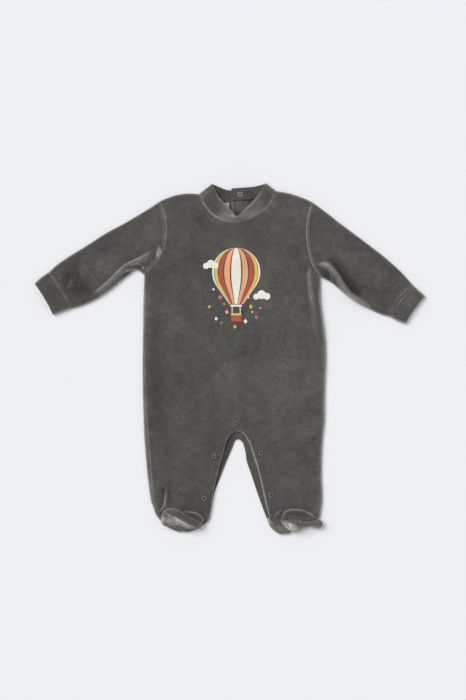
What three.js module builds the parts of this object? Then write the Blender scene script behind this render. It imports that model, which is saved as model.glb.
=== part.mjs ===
// A footed baby sleepsuit in dark grey velour, laid flat on its back.
// Millimetres, +Z up. The origin is under the middle of the laid-out garment, X runs across it
// from one cuff to the other, and Y runs from the feet to the neck.
import * as THREE from 'three';
import { mergeVertices } from 'three/addons/utils/BufferGeometryUtils.js';

// Cloth
const WALL = 1.8;                // velour, one layer
const BAND_WALL = 2.4;           // velour doubled over, in the neck band and the cuffs
const STRIP_WALL = 1.2;          // the thin strip of the placket
const LABEL_WALL = 1.0;
const SEAM_GAP = 0.4;            // between two sewn pieces
const REST_GAP = 0.35;           // between a piece and what it lies on
const ROLL = 2.3;                // radius of a rolled edge, half the height of two layers
const BAND_ROLL = 3.0;           // the same where the doubled neck band turns over
const CUFF_ROLL = 3.0;
const EDGE_LIFT = 0.09;          // how far a sewn edge stops short of the middle of its roll
const TOP = 2 * ROLL;            // face of the upper layer where it lies smooth

// Steps of the mesh
const ROW_STEP = 17;             // between two rows of the front and the back
const FRONT_COLUMNS = 7;         // in the flat part of half a front
const BACK_COLUMNS = 3;
const ROLL_COLUMNS = 4;          // round a rolled edge
const SLEEVE_RINGS = [0, 0.25, 0.5, 0.8, 1.1, 1.4, 1.7, 2, 2.3, 2.6, 3, 3.4, 3.8, 4.3, 4.9, 5.6, 6.3, 7];
const CUFF_RINGS = [0, 0.35, 1, 1.65, 2];
const HEEL_RINGS = [0, 1, 2, 3, 4, 4.5, 4.8, 4.94, 5];
const CUFF_COLUMNS = [0, 0.006, 0.02, 0.047, 0.25, 0.5, 0.75, 0.953, 0.98, 0.994, 1];
const HEEL_COLUMNS = [0, 0.006, 0.02, 0.045, 0.2, 0.4, 0.6, 0.8, 0.955, 0.98, 0.994, 1];
const BAND_COLUMNS = [0, 1 / 3, 2 / 3, 1];
const BAND_TURN = [-60, -30, 0, 30, 60];   // degrees round the fold at a side of the neck
const LEAF_STEP = 0.5;           // sections between two rows of a vamp or sole

const RING_RADIUS = 2.9;         // ring snap, at the middle of its wire
const RING_WIRE = 0.65;
const RING_SIDES = 6;            // round the wire
const RING_TURNS = 16;           // round the ring

const VELOUR = { color: 0x57574f, roughness: 0.95 };
const NICKEL = { color: 0x6f6c66, roughness: 0.45, metalness: 0.6 };
const LABEL_WHITE = { color: 0xf2f2ee, roughness: 0.8 };

const table = (columns, rows) => rows.map((row) =>
  Object.fromEntries(columns.map((name, i) => [name, row[i]])));

// Sections of half a body, from the neck point to the ankle. The inner edge runs round the
// neckline, down the middle and along the inseam. The outer edge runs down the armhole, the
// side and the leg. Wrap is how far the side seam has moved onto the front.
const HALF = ['innerX', 'innerY', 'outerX', 'outerY', 'wrap'];
const NECK_CORNER = 5;           // row at the middle of the neckline
const UNDERARM = 7;              // row at the foot of the armhole
const CROTCH = 11;               // row where the legs part

const FRONT_LEFT = table(HALF, [
  [-46, 246.5, -104, 236, 0],
  [-40, 235, -97.5, 220, 0],
  [-31, 221.5, -94, 200.5, 0],
  [-20, 212, -94.5, 181, 0],
  [-5, 206.5, -98, 163, 0],
  [11, 206, -106, 148, 0],
  [11, 184, -118, 134.5, 0],
  [11, 163, -127.5, 125.5, 0],
  [11, 103, -129, 88, 1],
  [11, 28, -130, 20.5, 2],
  [11, -47, -130, -54.5, 4.5],
  [11, -108.5, -128.5, -99.5, 6],
  [4, -111.5, -128, -114.5, 6.5],
  [-2, -119.5, -127, -129.5, 7],
  [-11, -147.5, -125, -155, 7],
  [-19, -177.5, -122, -185, 6.5],
  [-25.5, -209, -118, -212, 5],
  [-28.5, -231.5, -111, -232, 3],
]);

const FRONT_RIGHT = table(HALF, [
  [70, 251, 124, 234.5, 0],
  [66, 241, 118.5, 220, 0],
  [58, 229, 115, 200.5, 0],
  [46, 218, 115, 181, 0],
  [29, 209.5, 118, 160, 0],
  [11, 206, 123, 142, 0],
  [11, 184, 129, 131.5, 0],
  [11, 163, 136, 122.5, 0],
  [11, 103, 136.5, 91, 1],
  [11, 28, 144.5, 20.5, 1],
  [11, -47, 143, -54.5, 1],
  [11, -108.5, 142, -99.5, 1],
  [19, -111, 140, -116, 1],
  [27, -120.5, 139, -129.5, 1],
  [36, -144.5, 138, -155, 1],
  [45, -174.5, 138, -185, 1],
  [53, -210.5, 139, -212, 1],
  [60, -238.3, 136, -234.5, 1],
]);

// The back shares the outer edges. Its neckline is shallower, and its inseam shows past the
// front's, which laps over it.
const BACK_LEFT_INNER = table(['innerX', 'innerY'], [
  [-46, 246.5], [-40, 242], [-31, 239], [-19, 237.2], [-2, 236.2], [13, 236],
  [13, 184], [13, 163], [13, 103], [13, 28], [13, -47], [13, -120.5],
  [9, -122], [5, -131], [-4, -152], [-13.5, -176], [-24.5, -207.5], [-28.5, -231.5],
]);
const BACK_RIGHT_INNER = table(['innerX', 'innerY'], [
  [70, 251], [62, 245.5], [53, 242], [42, 239.5], [29, 237.6], [13, 236],
  [13, 184], [13, 163], [13, 103], [13, 28], [13, -47], [13, -120.5],
  [17, -122.5], [23, -135.5], [25.5, -152], [33, -174.5], [44, -207.5], [55.5, -238.5],
]);

// Sections of a sleeve from the armhole to the cuff seam, and of a cuff to its end.
const TUBE = ['upperX', 'upperY', 'lowerX', 'lowerY'];
const SLEEVE_LEFT = table(TUBE, [
  [-104, 236, -127.5, 125.5],
  [-124, 223, -139, 133],
  [-154, 205, -152, 125],
  [-187, 187, -175, 106],
  [-215, 169, -194, 92.5],
  [-244, 151, -214, 82.5],
  [-260, 139.5, -227, 77.5],
  [-271, 129.5, -237, 75.5],
]);
const SLEEVE_RIGHT = table(TUBE, [
  [124, 234.5, 136, 122.5],
  [140, 223, 152, 114.5],
  [163, 205, 163, 105.5],
  [187, 187, 176, 94],
  [211, 169, 191, 83.5],
  [238, 147.5, 209, 74.5],
  [257, 130, 226, 67],
  [275, 110, 241, 62.5],
]);
const CUFF_LEFT = table(TUBE, [
  [-271, 129.5, -237, 75.5],
  [-282, 122, -251, 70.5],
  [-292, 113, -264, 65.5],
]);
const CUFF_RIGHT = table(TUBE, [
  [275, 110, 241, 62.5],
  [284, 102, 251, 57],
  [292.5, 94.5, 262.5, 52.5],
]);
const CUFF_SEAM_BOW = 3;         // how far the cuff seam bows towards the shoulder
const CUFF_END_BOW = 1.5;

// Sections of the neck band from its lapped end on the left, round the front, to the end on
// the right. Stand is how far the upper edge rises over the seam.
const BAND = ['seamX', 'seamY', 'edgeX', 'edgeY', 'seamZ', 'stand'];
const UNDER = 2.7 + BAND_WALL;   // face of the upper lapped end
const NECK_BAND = [
  ...table(BAND, [
    [28, 238.4, 28, 251, 0, 0],
    [12, 236.8, 12, 251, 0, 0],
    [-5, 237, -4, 252, 0, 0],
    [-22, 238.3, -15, 256, 0, 0],
    [-36, 241.6, -22.5, 259.3, 0, 0],
  ]),
  ...table(BAND, [
    [-40, 235.4, -22.5, 253, BAND_ROLL * 2, 2],
    [-31, 222, -16, 241, BAND_ROLL * 2, 5],
    [-20, 212.4, -7.5, 230.5, BAND_ROLL * 2, 9],
    [-5, 207, 1, 221, BAND_ROLL * 2, 13],
    [11, 206.5, 10.8, 212, BAND_ROLL * 2, 15],
    [29, 210, 22.5, 221.5, BAND_ROLL * 2, 13],
    [46, 218.5, 33, 231.5, BAND_ROLL * 2, 9],
    [58, 229.4, 42, 242, BAND_ROLL * 2, 5],
    [66, 241.3, 49.5, 252.5, BAND_ROLL * 2, 2],
  ]),
  ...table(BAND, [
    [62, 246.3, 51.5, 260.5, 0, 0],
    [53, 242.8, 44.5, 258.5, 0, 0],
    [42, 240.3, 35, 256.5, 0, 0],
    [30, 239.4, 26, 255.5, UNDER - BAND_WALL, 0],
    [4, 238.2, 4, 254, UNDER - BAND_WALL, 0],
  ]),
];
const BAND_FOLDS = table(['after', 'seamX', 'seamY', 'edgeX', 'edgeY'], [
  [4, -45.5, 246.8, -26.5, 261.8],
  [13, 69.4, 251.5, 55.5, 262.6],
]);

// Strip of the neck opening, seen through the neck, and the label beside it.
const PLACKET = { left: 3, right: 29, top: 236, bottom: 160 };
const LABEL = { left: -13, right: -0.4, top: 233, bottom: 214 };

// How the cloth falls from a crest on one side, t of the way out: the powers in
// (1 - t ** a) ** b.
const ROUND = [2, 2];
const CREASE = [1, 1.6];

// Folds of the upper layer: a crest along each path, or a hollow where the height is negative,
// and how wide it is and how it falls to the right and left of the way the path runs.
const FOLDS = table(['path', 'height', 'right', 'left'], [
  // fold of the left sleeve from the armpit
  [[[-209, 93], [-199, 101.5], [-187, 111.5], [-175, 123], [-166, 132], [-157, 140.5],
    [-145, 146.5], [-133, 152], [-121, 158.5], [-110, 162]], 5.5, [14, CREASE], [55, ROUND]],
  // what lies below it: a small roll and the hollow above that
  [[[-161, 125], [-155, 132], [-148, 133.5], [-139, 134]], 2, [3.5, ROUND], [4, ROUND]],
  [[[-148, 138], [-139, 139.5], [-132, 138]], -1.2, [4, ROUND], [4, ROUND]],
  // bump beside the seam of the left sleeve
  [[[-106, 172], [-104.5, 163], [-107, 155], [-112, 148]], 3.6, [5, ROUND], [5, ROUND]],
  // pipe of the right sleeve from the armpit, and the sleeve above it
  [[[202, 80], [189, 87], [181, 92.5], [175, 98.5], [170, 105], [166, 112], [160, 122.5],
    [154.5, 130], [151, 136], [146, 139.5], [138, 141.5], [127, 141]], 7, [9, ROUND], [8, ROUND]],
  [[[226, 102], [206, 116], [190, 130], [172, 146], [150, 160]], 2.6, [24, ROUND], [24, ROUND]],
  // fold down the right side from the armpit
  [[[137, 15], [131, 45], [127.5, 66], [125, 84], [122.3, 103], [120.5, 120], [118.5, 136],
    [116, 145]], 4.6, [22, ROUND], [5.5, ROUND]],
  // ease of the body, the belly and the seat
  [[[-75, 180], [-82, 90], [-80, -20], [-70, -110]], 1.6, [40, ROUND], [30, ROUND]],
  [[[85, 170], [80, 90], [85, 0], [80, -110]], 1.6, [40, ROUND], [40, ROUND]],
  [[[-25, -10], [-8, -60], [-12, -104]], 1.6, [16, ROUND], [16, ROUND]],
  [[[32, -40], [40, -90], [62, -140]], 1.4, [20, ROUND], [20, ROUND]],
  [[[40, 160], [62, 186], [92, 205]], 1.2, [18, ROUND], [18, ROUND]],
  [[[-60, -130], [-66, -170], [-62, -215]], 2.2, [28, ROUND], [22, ROUND]],
  [[[88, -130], [96, -170], [100, -215]], 2.2, [28, ROUND], [28, ROUND]],
  // the placket under the front
  [[[16, 240], [16, 128]], 2.4, [24, ROUND], [24, ROUND]],
  // crease into the left ankle, and the heels
  [[[-112, -233], [-104, -227], [-97.5, -218], [-95.5, -207], [-95, -190]], 3.4, [7, ROUND],
    [4.5, ROUND]],
  [[[-103, -240], [-86, -249], [-66, -252], [-46, -249], [-34, -240]], 1.2, [9, ROUND], [9, ROUND]],
  [[[62, -238], [67, -249], [78, -256], [96, -252], [118, -245]], 1.2, [9, ROUND], [9, ROUND]],
  // soft creases of the sleeves
  [[[-130, 212], [-148, 182], [-166, 158]], 2, [16, ROUND], [12, ROUND]],
  [[[-205, 168], [-213, 142], [-222, 112]], 2, [14, ROUND], [12, ROUND]],
  [[[-228, 132], [-231, 122], [-237, 110], [-248, 98]], 1.8, [7, ROUND], [6, ROUND]],
  [[[240, 132], [228, 112], [222, 96]], 1.8, [16, ROUND], [14, ROUND]],
  [[[190, 172], [186, 146], [196, 124]], 1.8, [16, ROUND], [16, ROUND]],
]);
const FOLD_END = 24;             // length over which a fold fades at each end
const END_WIDTH = 0.5;           // share of its width that is left there
const PATH_STEP = 0.25;          // points between two corners of a path, to round it

// Outlines of the feet. A heel continues the leg, and closes at its lower end.
const HEEL_LEFT = table(TUBE, [
  [-111, -232, -28.5, -231.5],
  [-109.5, -236, -29.5, -238],
  [-105, -241, -32.5, -244],
  [-97, -249, -41, -251],
  [-86, -256, -51, -256.5],
  [-76, -259.6, -63, -259.8],
]);
const HEEL_RIGHT = table(TUBE, [
  [55.5, -238.5, 136, -234.5],
  [57.5, -243, 133, -240],
  [60, -250.5, 122, -246],
  [66, -257.5, 108, -252],
  [72, -261.5, 97, -257],
  [79, -263.4, 88, -262.8],
]);

// A vamp or sole turned up over the ankle: its near edge, towards the toe, its far edge, and how
// high each edge and the crest between them stand over the cloth below. CrestAt is the share of
// the way from the near edge to the far one at which the crest lies.
const LEAF = ['nearX', 'nearY', 'farX', 'farY', 'nearZ', 'crestZ', 'farZ', 'crestAt'];
const SOLE_LEFT = table(LEAF, [
  [-102, -245, -101.8, -236.5, 0, 1, 0.5, 0.9],
  [-98.5, -249.5, -99.5, -229.5, 0, 4, 1.5, 0.86],
  [-88, -250.5, -92, -224, 0, 6.5, 3, 0.68],
  [-76, -250, -80, -225, 0, 8, 3.5, 0.46],
  [-65, -253.5, -68.5, -231, 0, 8, 3.5, 0.34],
  [-55, -255, -56, -238, 0, 7, 3, 0.3],
  [-46, -254.3, -46, -242.3, 0, 4, 2, 0.3],
  [-40, -249, -40.5, -245.4, 0, 1, 0.5, 0.4],
]);
const VAMP_LEFT = table(LEAF, [
  [-70, -229.2, -68, -227, 0.5, 0.5, 0, 0.5],
  [-62, -234, -60, -228.3, 1, 1.5, 1.5, 0.6],
  [-53, -238.8, -50, -229.8, 1, 1.5, 2.5, 0.7],
  [-44.5, -241.6, -41.5, -235.5, 1, 1.5, 2, 0.7],
  [-39, -243.4, -38, -240, 0.5, 0.5, 0, 0.5],
]);
const SOLE_RIGHT = table(LEAF, [
  [77, -244, 77, -241, 0, 1, 0.5, 0.5],
  [82, -250, 85, -240.8, 0, 5, 2.5, 0.64],
  [90, -256.3, 92, -239.9, 0, 8, 3.5, 0.6],
  [98, -259.3, 99, -240.1, 0, 8, 3.5, 0.59],
  [109, -253.3, 108, -241.7, 0, 6.5, 3, 0.6],
  [119, -251.5, 118, -242.8, 0, 5, 3, 0.55],
  [130, -253.6, 129.5, -240.8, 0, 4.5, 2, 0.55],
  [136.3, -252.3, 135.3, -240.9, 0, 3.5, 1.5, 0.5],
  [139.2, -248.5, 138.8, -243.5, 0, 1.5, 1, 0.5],
]);
const VAMP_RIGHT = table(LEAF, [
  [78, -240.4, 78, -236, 0.5, 0.5, 0, 0.5],
  [84, -240.2, 83, -228.3, 1, 2, 2.5, 0.7],
  [92, -239.3, 92, -225.2, 1, 2, 3, 0.75],
  [106, -240.8, 106, -225.7, 1, 2, 3, 0.75],
  [119, -242, 120, -231, 1, 2, 2.5, 0.7],
  [132, -239.7, 132.6, -238, 0.5, 1, 0.5, 0.5],
]);

const SNAPS = table(['name', 'x', 'y'], [
  ['snap_1', 9, -97],
  ['snap_2', -23, -146],
  ['snap_3', 47, -141.5],
  ['snap_4', -37.5, -209],
  ['snap_5', 62, -204.5],
]);
const NECK_SNAP = { name: 'snap_6', x: 16, y: 246 };

// Plain vectors

const lerp = (a, b, t) => a + (b - a) * t;
const clamp = (x, low, high) => Math.min(high, Math.max(low, x));
const smooth = (x) => x * x * (3 - 2 * x);
const mix = (p, q, t) => [lerp(p[0], q[0], t), lerp(p[1], q[1], t)];
const distance = (p, q) => Math.hypot(p[0] - q[0], p[1] - q[1]);
const towards = (p, q) => {
  const length = distance(p, q);
  return [(q[0] - p[0]) / length, (q[1] - p[1]) / length];
};

// A smooth curve through named columns of a table, with t counted in rows. It turns sharply at
// the rows named as corners.
function edge(rows, columns, corners = []) {
  const points = rows.map((row) => columns.map((name) => row[name]));
  const size = (i) => Math.hypot(...points[i].map((value, k) => points[i + 1][k] - value)) || 1e-6;
  const slope = (i, k) => (points[i + 1][k] - points[i][k]) / size(i);
  const last = points.length - 1;
  function tangent(i, k, segment) {
    if (i === 0 || i === last || corners.includes(i)) return slope(segment, k);
    const before = size(i - 1);
    const after = size(i);
    return (slope(i - 1, k) * after + slope(i, k) * before) / (before + after);
  }
  return (t) => {
    const i = Math.min(Math.floor(t), last - 1);
    const f = t - i;
    return columns.map((_, k) => {
      const p = points[i][k];
      const q = points[i + 1][k];
      const a = tangent(i, k, i) * size(i);
      const b = tangent(i + 1, k, i) * size(i);
      const rise = f * f * (3 - 2 * f);
      return lerp(p, q, rise) + a * f * (1 - f) * (1 - f) - b * f * f * (1 - f);
    });
  };
}

// A path with its corners rounded.
function rounded(path) {
  const at = edge(table(['x', 'y'], path), ['x', 'y']);
  const points = [];
  for (let t = 0; t <= path.length - 1; t += PATH_STEP) points.push(at(t));
  return points;
}

const ROUNDED_FOLDS = FOLDS.map((fold) => ({ ...fold, path: rounded(fold.path) }));

// Height of the folds at a point of the upper layer.
function foldHeight(x, y) {
  let height = 0;
  for (const fold of ROUNDED_FOLDS) {
    const near = nearest(fold.path, x, y);
    const ends = smooth(clamp(near.toEnd / Math.min(FOLD_END, near.length / 2), 0, 1));
    const [width, [power, outerPower]] = near.side > 0 ? fold.left : fold.right;
    const t = near.distance / (width * lerp(END_WIDTH, 1, ends));
    if (t < 1) height += fold.height * ends * (1 - t ** power) ** outerPower;
  }
  return height;
}

// The nearest place of a path: how far off it is, on which side, and how far from an end.
function nearest(path, x, y) {
  const lengths = path.slice(1).map((q, i) => distance(path[i], q));
  const length = lengths.reduce((sum, leg) => sum + leg, 0);
  let best = { distance: Infinity };
  let start = 0;
  lengths.forEach((leg, i) => {
    const [px, py] = path[i];
    const [dx, dy] = towards(path[i], path[i + 1]);
    const along = clamp((x - px) * dx + (y - py) * dy, 0, leg);
    const away = Math.hypot(x - px - dx * along, y - py - dy * along);
    const side = dx * (y - py) - dy * (x - px);
    const toEnd = Math.min(start + along, length - start - along);
    if (away < best.distance) best = { distance: away, side, toEnd, length };
    start += leg;
  });
  return best;
}

// Height of a rolled edge: 0 on the silhouette, 1 where the layer lies flat.
function rollLift(inset, radius = ROLL) {
  const cosine = 1 - clamp(inset / radius, 0, 1);
  return Math.sqrt(1 - cosine * cosine);
}

// A point of the upper (side 1) or under (side -1) layer, and the way out of the cloth there.
function layerPoint([x, y], lift, out, side, radius = ROLL) {
  const cosine = Math.sqrt(1 - lift * lift);
  const fold = side > 0 ? foldHeight(x, y) * lift * lift : 0;
  return {
    at: [x, y, radius + side * radius * lift + fold],
    normal: [out[0] * cosine, out[1] * cosine, side * lift],
  };
}

// Closed walls

// A wall made from grids of outer points that share their edges: the outer face, an inner face
// one thickness further in, and a rim along every free edge. A ring grid joins its last column
// to its first.
function wall(grids, thickness, turned = false) {
  const outer = [];
  const inner = [];
  const index = new Map();
  const faces = [];
  const vertex = (point) => {
    const key = point.at.map((value) => Math.round(value * 1e3)).join(',');
    if (!index.has(key)) {
      index.set(key, outer.length);
      outer.push(point.at);
      inner.push(point.at.map((value, k) => value - point.normal[k] * thickness));
    }
    return index.get(key);
  };
  const face = (a, b, c) => {
    if (a === b || b === c || c === a) return;
    faces.push(turned ? [a, c, b] : [a, b, c]);
  };
  for (const { rows, ring } of grids) {
    for (let i = 0; i + 1 < rows.length; i += 1) {
      const columns = rows[i].length;
      for (let j = 0; j + (ring ? 0 : 1) < columns; j += 1) {
        const next = (j + 1) % columns;
        const corners = [rows[i][j], rows[i][next], rows[i + 1][next], rows[i + 1][j]].map(vertex);
        face(corners[0], corners[1], corners[2]);
        face(corners[0], corners[2], corners[3]);
      }
    }
  }
  const edges = new Set(faces.flatMap(([a, b, c]) => [`${a},${b}`, `${b},${c}`, `${c},${a}`]));
  const shift = outer.length;
  const triangles = faces.flatMap(([a, b, c]) => [a, b, c, a + shift, c + shift, b + shift]);
  for (const name of edges) {
    const [a, b] = name.split(',').map(Number);
    if (edges.has(`${b},${a}`)) continue;
    triangles.push(b, a, a + shift, b, a + shift, b + shift);
  }
  const geometry = new THREE.BufferGeometry();
  geometry.setAttribute('position', new THREE.Float32BufferAttribute([...outer, ...inner].flat(), 3));
  geometry.setIndex(triangles);
  return mergeVertices(geometry, 1e-3);
}

// Gives each point of a free-form grid its normal, from its neighbours.
function withNormals(rows) {
  const pick = (i, j) => {
    const row = rows[clamp(i, 0, rows.length - 1)];
    return row[clamp(j, 0, row.length - 1)];
  };
  const step = (a, b) => new THREE.Vector3(...b).sub(new THREE.Vector3(...a));
  return rows.map((row, i) => row.map((at, j) => {
    const along = step(pick(i - 1, j), pick(i + 1, j));
    const across = step(pick(i, j - 1), pick(i, j + 1));
    return { at, normal: along.cross(across).normalize().toArray() };
  }));
}

const piece = (name, geometry, finish) => {
  geometry.computeVertexNormals();
  const mesh = new THREE.Mesh(geometry, new THREE.MeshStandardMaterial(finish));
  mesh.name = name;
  return mesh;
};

// Body

// Rows of a half body: close together where the shoulder and the underarm turn, then evenly.
const ARMHOLE_ROWS = [
  0, 0.02, 0.06, 0.14, 1, 2, 3, 4, 4.6, 5.1, 5.5, 5.9, 6.25, 6.55, 6.8, 6.91, 6.97, 7,
];
const SHOULDER_REACH = 3;        // rows over which the bow of the shoulder fades
const FLAT_START = 0.2 * ROLL;   // cloth past a side seam before it can lie flat

function bodyRows(outer, last) {
  const rows = [...ARMHOLE_ROWS];
  for (let i = UNDERARM; i < last; i += 1) {
    const steps = Math.max(1, Math.round(distance(outer(i), outer(i + 1)) / ROW_STEP));
    for (let k = 1; k <= steps; k += 1) rows.push(i + k / steps);
  }
  return rows;
}

// One layer of half a body, as a grid from its outer edge to its inner edge. The bow lifts the
// shoulder between the neck and the armhole.
function halfLayer({ innerRows, outerRows, side, columns, bow, innerShift = 0 }) {
  const inner = edge(innerRows, ['innerX', 'innerY'], [NECK_CORNER, CROTCH]);
  const outer = edge(outerRows, ['outerX', 'outerY'], [UNDERARM]);
  const wrap = edge(outerRows, ['wrap']);
  const last = outerRows.length - 1;
  const at = (t, along) => {
    const rise = 4 * bow * along * (1 - along) * clamp(1 - t / SHOULDER_REACH, 0, 1) ** 2;
    const [x, y] = mix(outer(t), inner(t), along);
    return [x + innerShift * smooth(along), y + rise];
  };
  const underarm = outer(UNDERARM);
  return bodyRows(outer, last).map((t) => {
    const length = distance(outer(t), inner(t));
    const out = towards(inner(t), outer(t));
    const wrapped = t > UNDERARM ? side * Math.max(wrap(t)[0], 0) : 0;
    const seam = wrapped + SEAM_GAP / 2;
    const rolled = Math.max(ROLL * Math.PI / 2, Math.max(seam, 0) + FLAT_START);
    const arcs = [];
    for (let k = 0; k <= ROLL_COLUMNS; k += 1) arcs.push(lerp(seam, rolled, k / ROLL_COLUMNS));
    for (let k = 1; k <= columns; k += 1) {
      arcs.push(lerp(rolled, length - ROLL + ROLL * Math.PI / 2, smoothEnds(k / columns)));
    }
    return arcs.map((arc) => {
      const { inset, lift } = onRoll(arc);
      const along = inset / length;
      const point = at(t, along);
      if (t > UNDERARM) return layerPoint(point, Math.abs(lift), out, side * Math.sign(lift));
      const top = at(0, along);
      const shoulder = distance(top, point);
      const corner = distance(underarm, point);
      const near = Math.min(shoulder, corner);
      const raised = Math.max(rollLift(near), EDGE_LIFT);
      if (corner < shoulder) return layerPoint(point, raised, out, side);
      const up = t > 0 ? towards(point, top) : towards(at(0.02, along), top);
      return layerPoint(point, raised, up, side);
    });
  });
}

const END_CROWDING = 0.3;        // how much closer the columns lie at both ends
const smoothEnds = (x) => lerp(x, smooth(x), END_CROWDING);

// A place on the round of an edge, from its distance along the cloth past the silhouette.
function onRoll(arc) {
  const angle = clamp(arc / ROLL, -Math.PI / 2, Math.PI / 2);
  const beyond = Math.abs(arc) - ROLL * Math.PI / 2;
  const inset = beyond > 0 ? ROLL + beyond : ROLL * (1 - Math.cos(angle));
  return { inset, lift: Math.sin(angle) };
}

const mirrorRows = (rows) => rows.map((row) => [...row].reverse());

function makeFront() {
  const shape = { side: 1, columns: FRONT_COLUMNS };
  const left = halfLayer({ ...shape, innerRows: FRONT_LEFT, outerRows: FRONT_LEFT, bow: 5 });
  const right = halfLayer({ ...shape, innerRows: FRONT_RIGHT, outerRows: FRONT_RIGHT, bow: 3 });
  return piece('front', wall([{ rows: left }, { rows: mirrorRows(right) }], WALL, true), VELOUR);
}

function makeBack(name, innerRows, outerRows, bow, turned, innerShift) {
  const shape = { side: -1, columns: BACK_COLUMNS };
  const rows = halfLayer({ ...shape, innerRows, outerRows, bow, innerShift });
  return piece(name, wall([{ rows }], WALL, turned), VELOUR);
}

// Sleeves, cuffs and heels

const SEAM_REACH = 2.5;          // sections over which a sleeve takes up the curve of its seam

// A flattened tube, as rings from the upper to the lower silhouette and back underneath.
function flatTube({ rings, columns, radius, closedEnd = false }) {
  const end = rings[rings.length - 1];
  return rings.map((ring) => {
    const top = columns.map((v) => tubePoint(ring, v, 1, radius, closedEnd && end));
    const under = columns.slice(1, -1).map((v) => tubePoint(ring, v, -1, radius, closedEnd && end));
    return [...top, ...under.reverse()];
  });
}

function tubePoint(ring, v, side, radius, end) {
  const point = ring.at(v);
  const ends = [ring.at(0), ring.at(1)];
  let out = v < 0.5 ? towards(ring.at(0.01), ends[0]) : towards(ring.at(0.99), ends[1]);
  let inset = Math.min(distance(point, ends[0]), distance(point, ends[1]));
  if (end) {
    const tail = distance(point, end.at(v));
    if (tail < inset) {
      inset = tail;
      out = tail > 0 ? towards(point, end.at(v)) : end.out;
    }
  }
  return layerPoint(point, rollLift(inset, radius), out, side, radius);
}

// Rings of a sleeve: the first follows the armhole, the last bows like the cuff seam.
function sleeveRings(rows, armhole, turn) {
  const upper = edge(rows, ['upperX', 'upperY']);
  const lower = edge(rows, ['lowerX', 'lowerY']);
  const last = rows.length - 1;
  return SLEEVE_RINGS.map((s) => {
    const nearBody = clamp(1 - s / SEAM_REACH, 0, 1) ** 2;
    const nearCuff = clamp(1 - (last - s) / SEAM_REACH, 0, 1) ** 2;
    const along = towards(upper(s), lower(s));
    const toShoulder = [along[1] * turn, -along[0] * turn];
    const at = (v) => {
      const point = mix(upper(s), lower(s), v);
      const line = mix(armhole(0), armhole(UNDERARM), v);
      const curve = armhole(v * UNDERARM);
      const bow = 4 * CUFF_SEAM_BOW * v * (1 - v) * nearCuff;
      return point.map((value, k) => value + (curve[k] - line[k]) * nearBody + toShoulder[k] * bow);
    };
    if (s > 0) return { at };
    return { at: (v) => offCurve(at, v, -turn * SEAM_GAP) };
  });
}

// A point moved off a curve at a right angle to it.
function offCurve(at, v, shift) {
  const [dx, dy] = towards(at(Math.max(v - 0.01, 0)), at(Math.min(v + 0.01, 1)));
  const [x, y] = at(v);
  return [x + dy * shift, y - dx * shift];
}

function cuffRings(rows, turn) {
  const upper = edge(rows, ['upperX', 'upperY']);
  const lower = edge(rows, ['lowerX', 'lowerY']);
  const last = rows.length - 1;
  return CUFF_RINGS.map((s) => {
    const along = towards(upper(s), lower(s));
    const toShoulder = [along[1] * turn, -along[0] * turn];
    const depth = lerp(CUFF_SEAM_BOW, CUFF_END_BOW, s / last);
    const at = (v) => {
      const bow = 4 * depth * v * (1 - v) - (s > 0 ? 0 : SEAM_GAP);
      return mix(upper(s), lower(s), v).map((value, k) => value + toShoulder[k] * bow);
    };
    return { at };
  });
}

function makeSleeve(name, rows, bodyHalf, turn) {
  const armhole = edge(bodyHalf, ['outerX', 'outerY'], [UNDERARM]);
  const columns = ARMHOLE_ROWS.map((t) => t / UNDERARM);
  const rings = sleeveRings(rows, armhole, turn);
  const grid = flatTube({ rings, columns, radius: ROLL });
  return piece(name, wall([{ rows: grid, ring: true }], WALL, turn < 0), VELOUR);
}

function makeCuff(name, rows, turn) {
  const rings = cuffRings(rows, turn);
  const grid = flatTube({ rings, columns: CUFF_COLUMNS, radius: CUFF_ROLL });
  return piece(name, wall([{ rows: grid, ring: true }], BAND_WALL, turn < 0), VELOUR);
}

function makeHeel(name, rows) {
  const left = edge(rows, ['upperX', 'upperY']);
  const right = edge(rows, ['lowerX', 'lowerY']);
  const rings = HEEL_RINGS.map((s) => ({
    at: (v) => {
      const [x, y] = mix(left(s), right(s), v);
      return [x, s > 0 ? y : y - SEAM_GAP];
    },
    out: [0, -1],
  }));
  const grid = flatTube({ rings, columns: HEEL_COLUMNS, radius: ROLL, closedEnd: true });
  return piece(name, wall([{ rows: grid, ring: true }], WALL, true), VELOUR);
}

// Neck band

// Points across the band at one section, from the seam to the upper edge.
function bandRow(section) {
  return BAND_COLUMNS.map((v) => [
    lerp(section.seamX, section.edgeX, v),
    lerp(section.seamY, section.edgeY, v),
    section.seamZ + section.stand * Math.sin(v * Math.PI / 2),
  ]);
}

// Points across the band where it turns over at a side of the neck: up at the left side, and
// down again at the right one.
function bandFoldRows(fold) {
  const [dx, dy] = towards([fold.seamX, fold.seamY], [fold.edgeX, fold.edgeY]);
  const atLeft = fold.seamX < 0;
  const out = atLeft ? [-dy, dx] : [dy, -dx];
  const angles = atLeft ? BAND_TURN : [...BAND_TURN].reverse();
  return angles.map((degrees) => {
    const angle = THREE.MathUtils.degToRad(degrees);
    const inset = BAND_ROLL * (1 - Math.cos(angle));
    const z = BAND_ROLL + BAND_ROLL * Math.sin(angle);
    return BAND_COLUMNS.map((v) => {
      const [x, y] = mix([fold.seamX, fold.seamY], [fold.edgeX, fold.edgeY], v);
      return [x - out[0] * inset, y - out[1] * inset, z];
    });
  });
}

function makeCollar() {
  const rows = [];
  NECK_BAND.forEach((section, i) => {
    rows.push(bandRow(section));
    const fold = BAND_FOLDS.find(({ after }) => after === i);
    if (fold) rows.push(...bandFoldRows(fold));
  });
  return piece('collar', wall([{ rows: withNormals(rows) }], BAND_WALL, true), VELOUR);
}

// Small pieces

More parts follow.
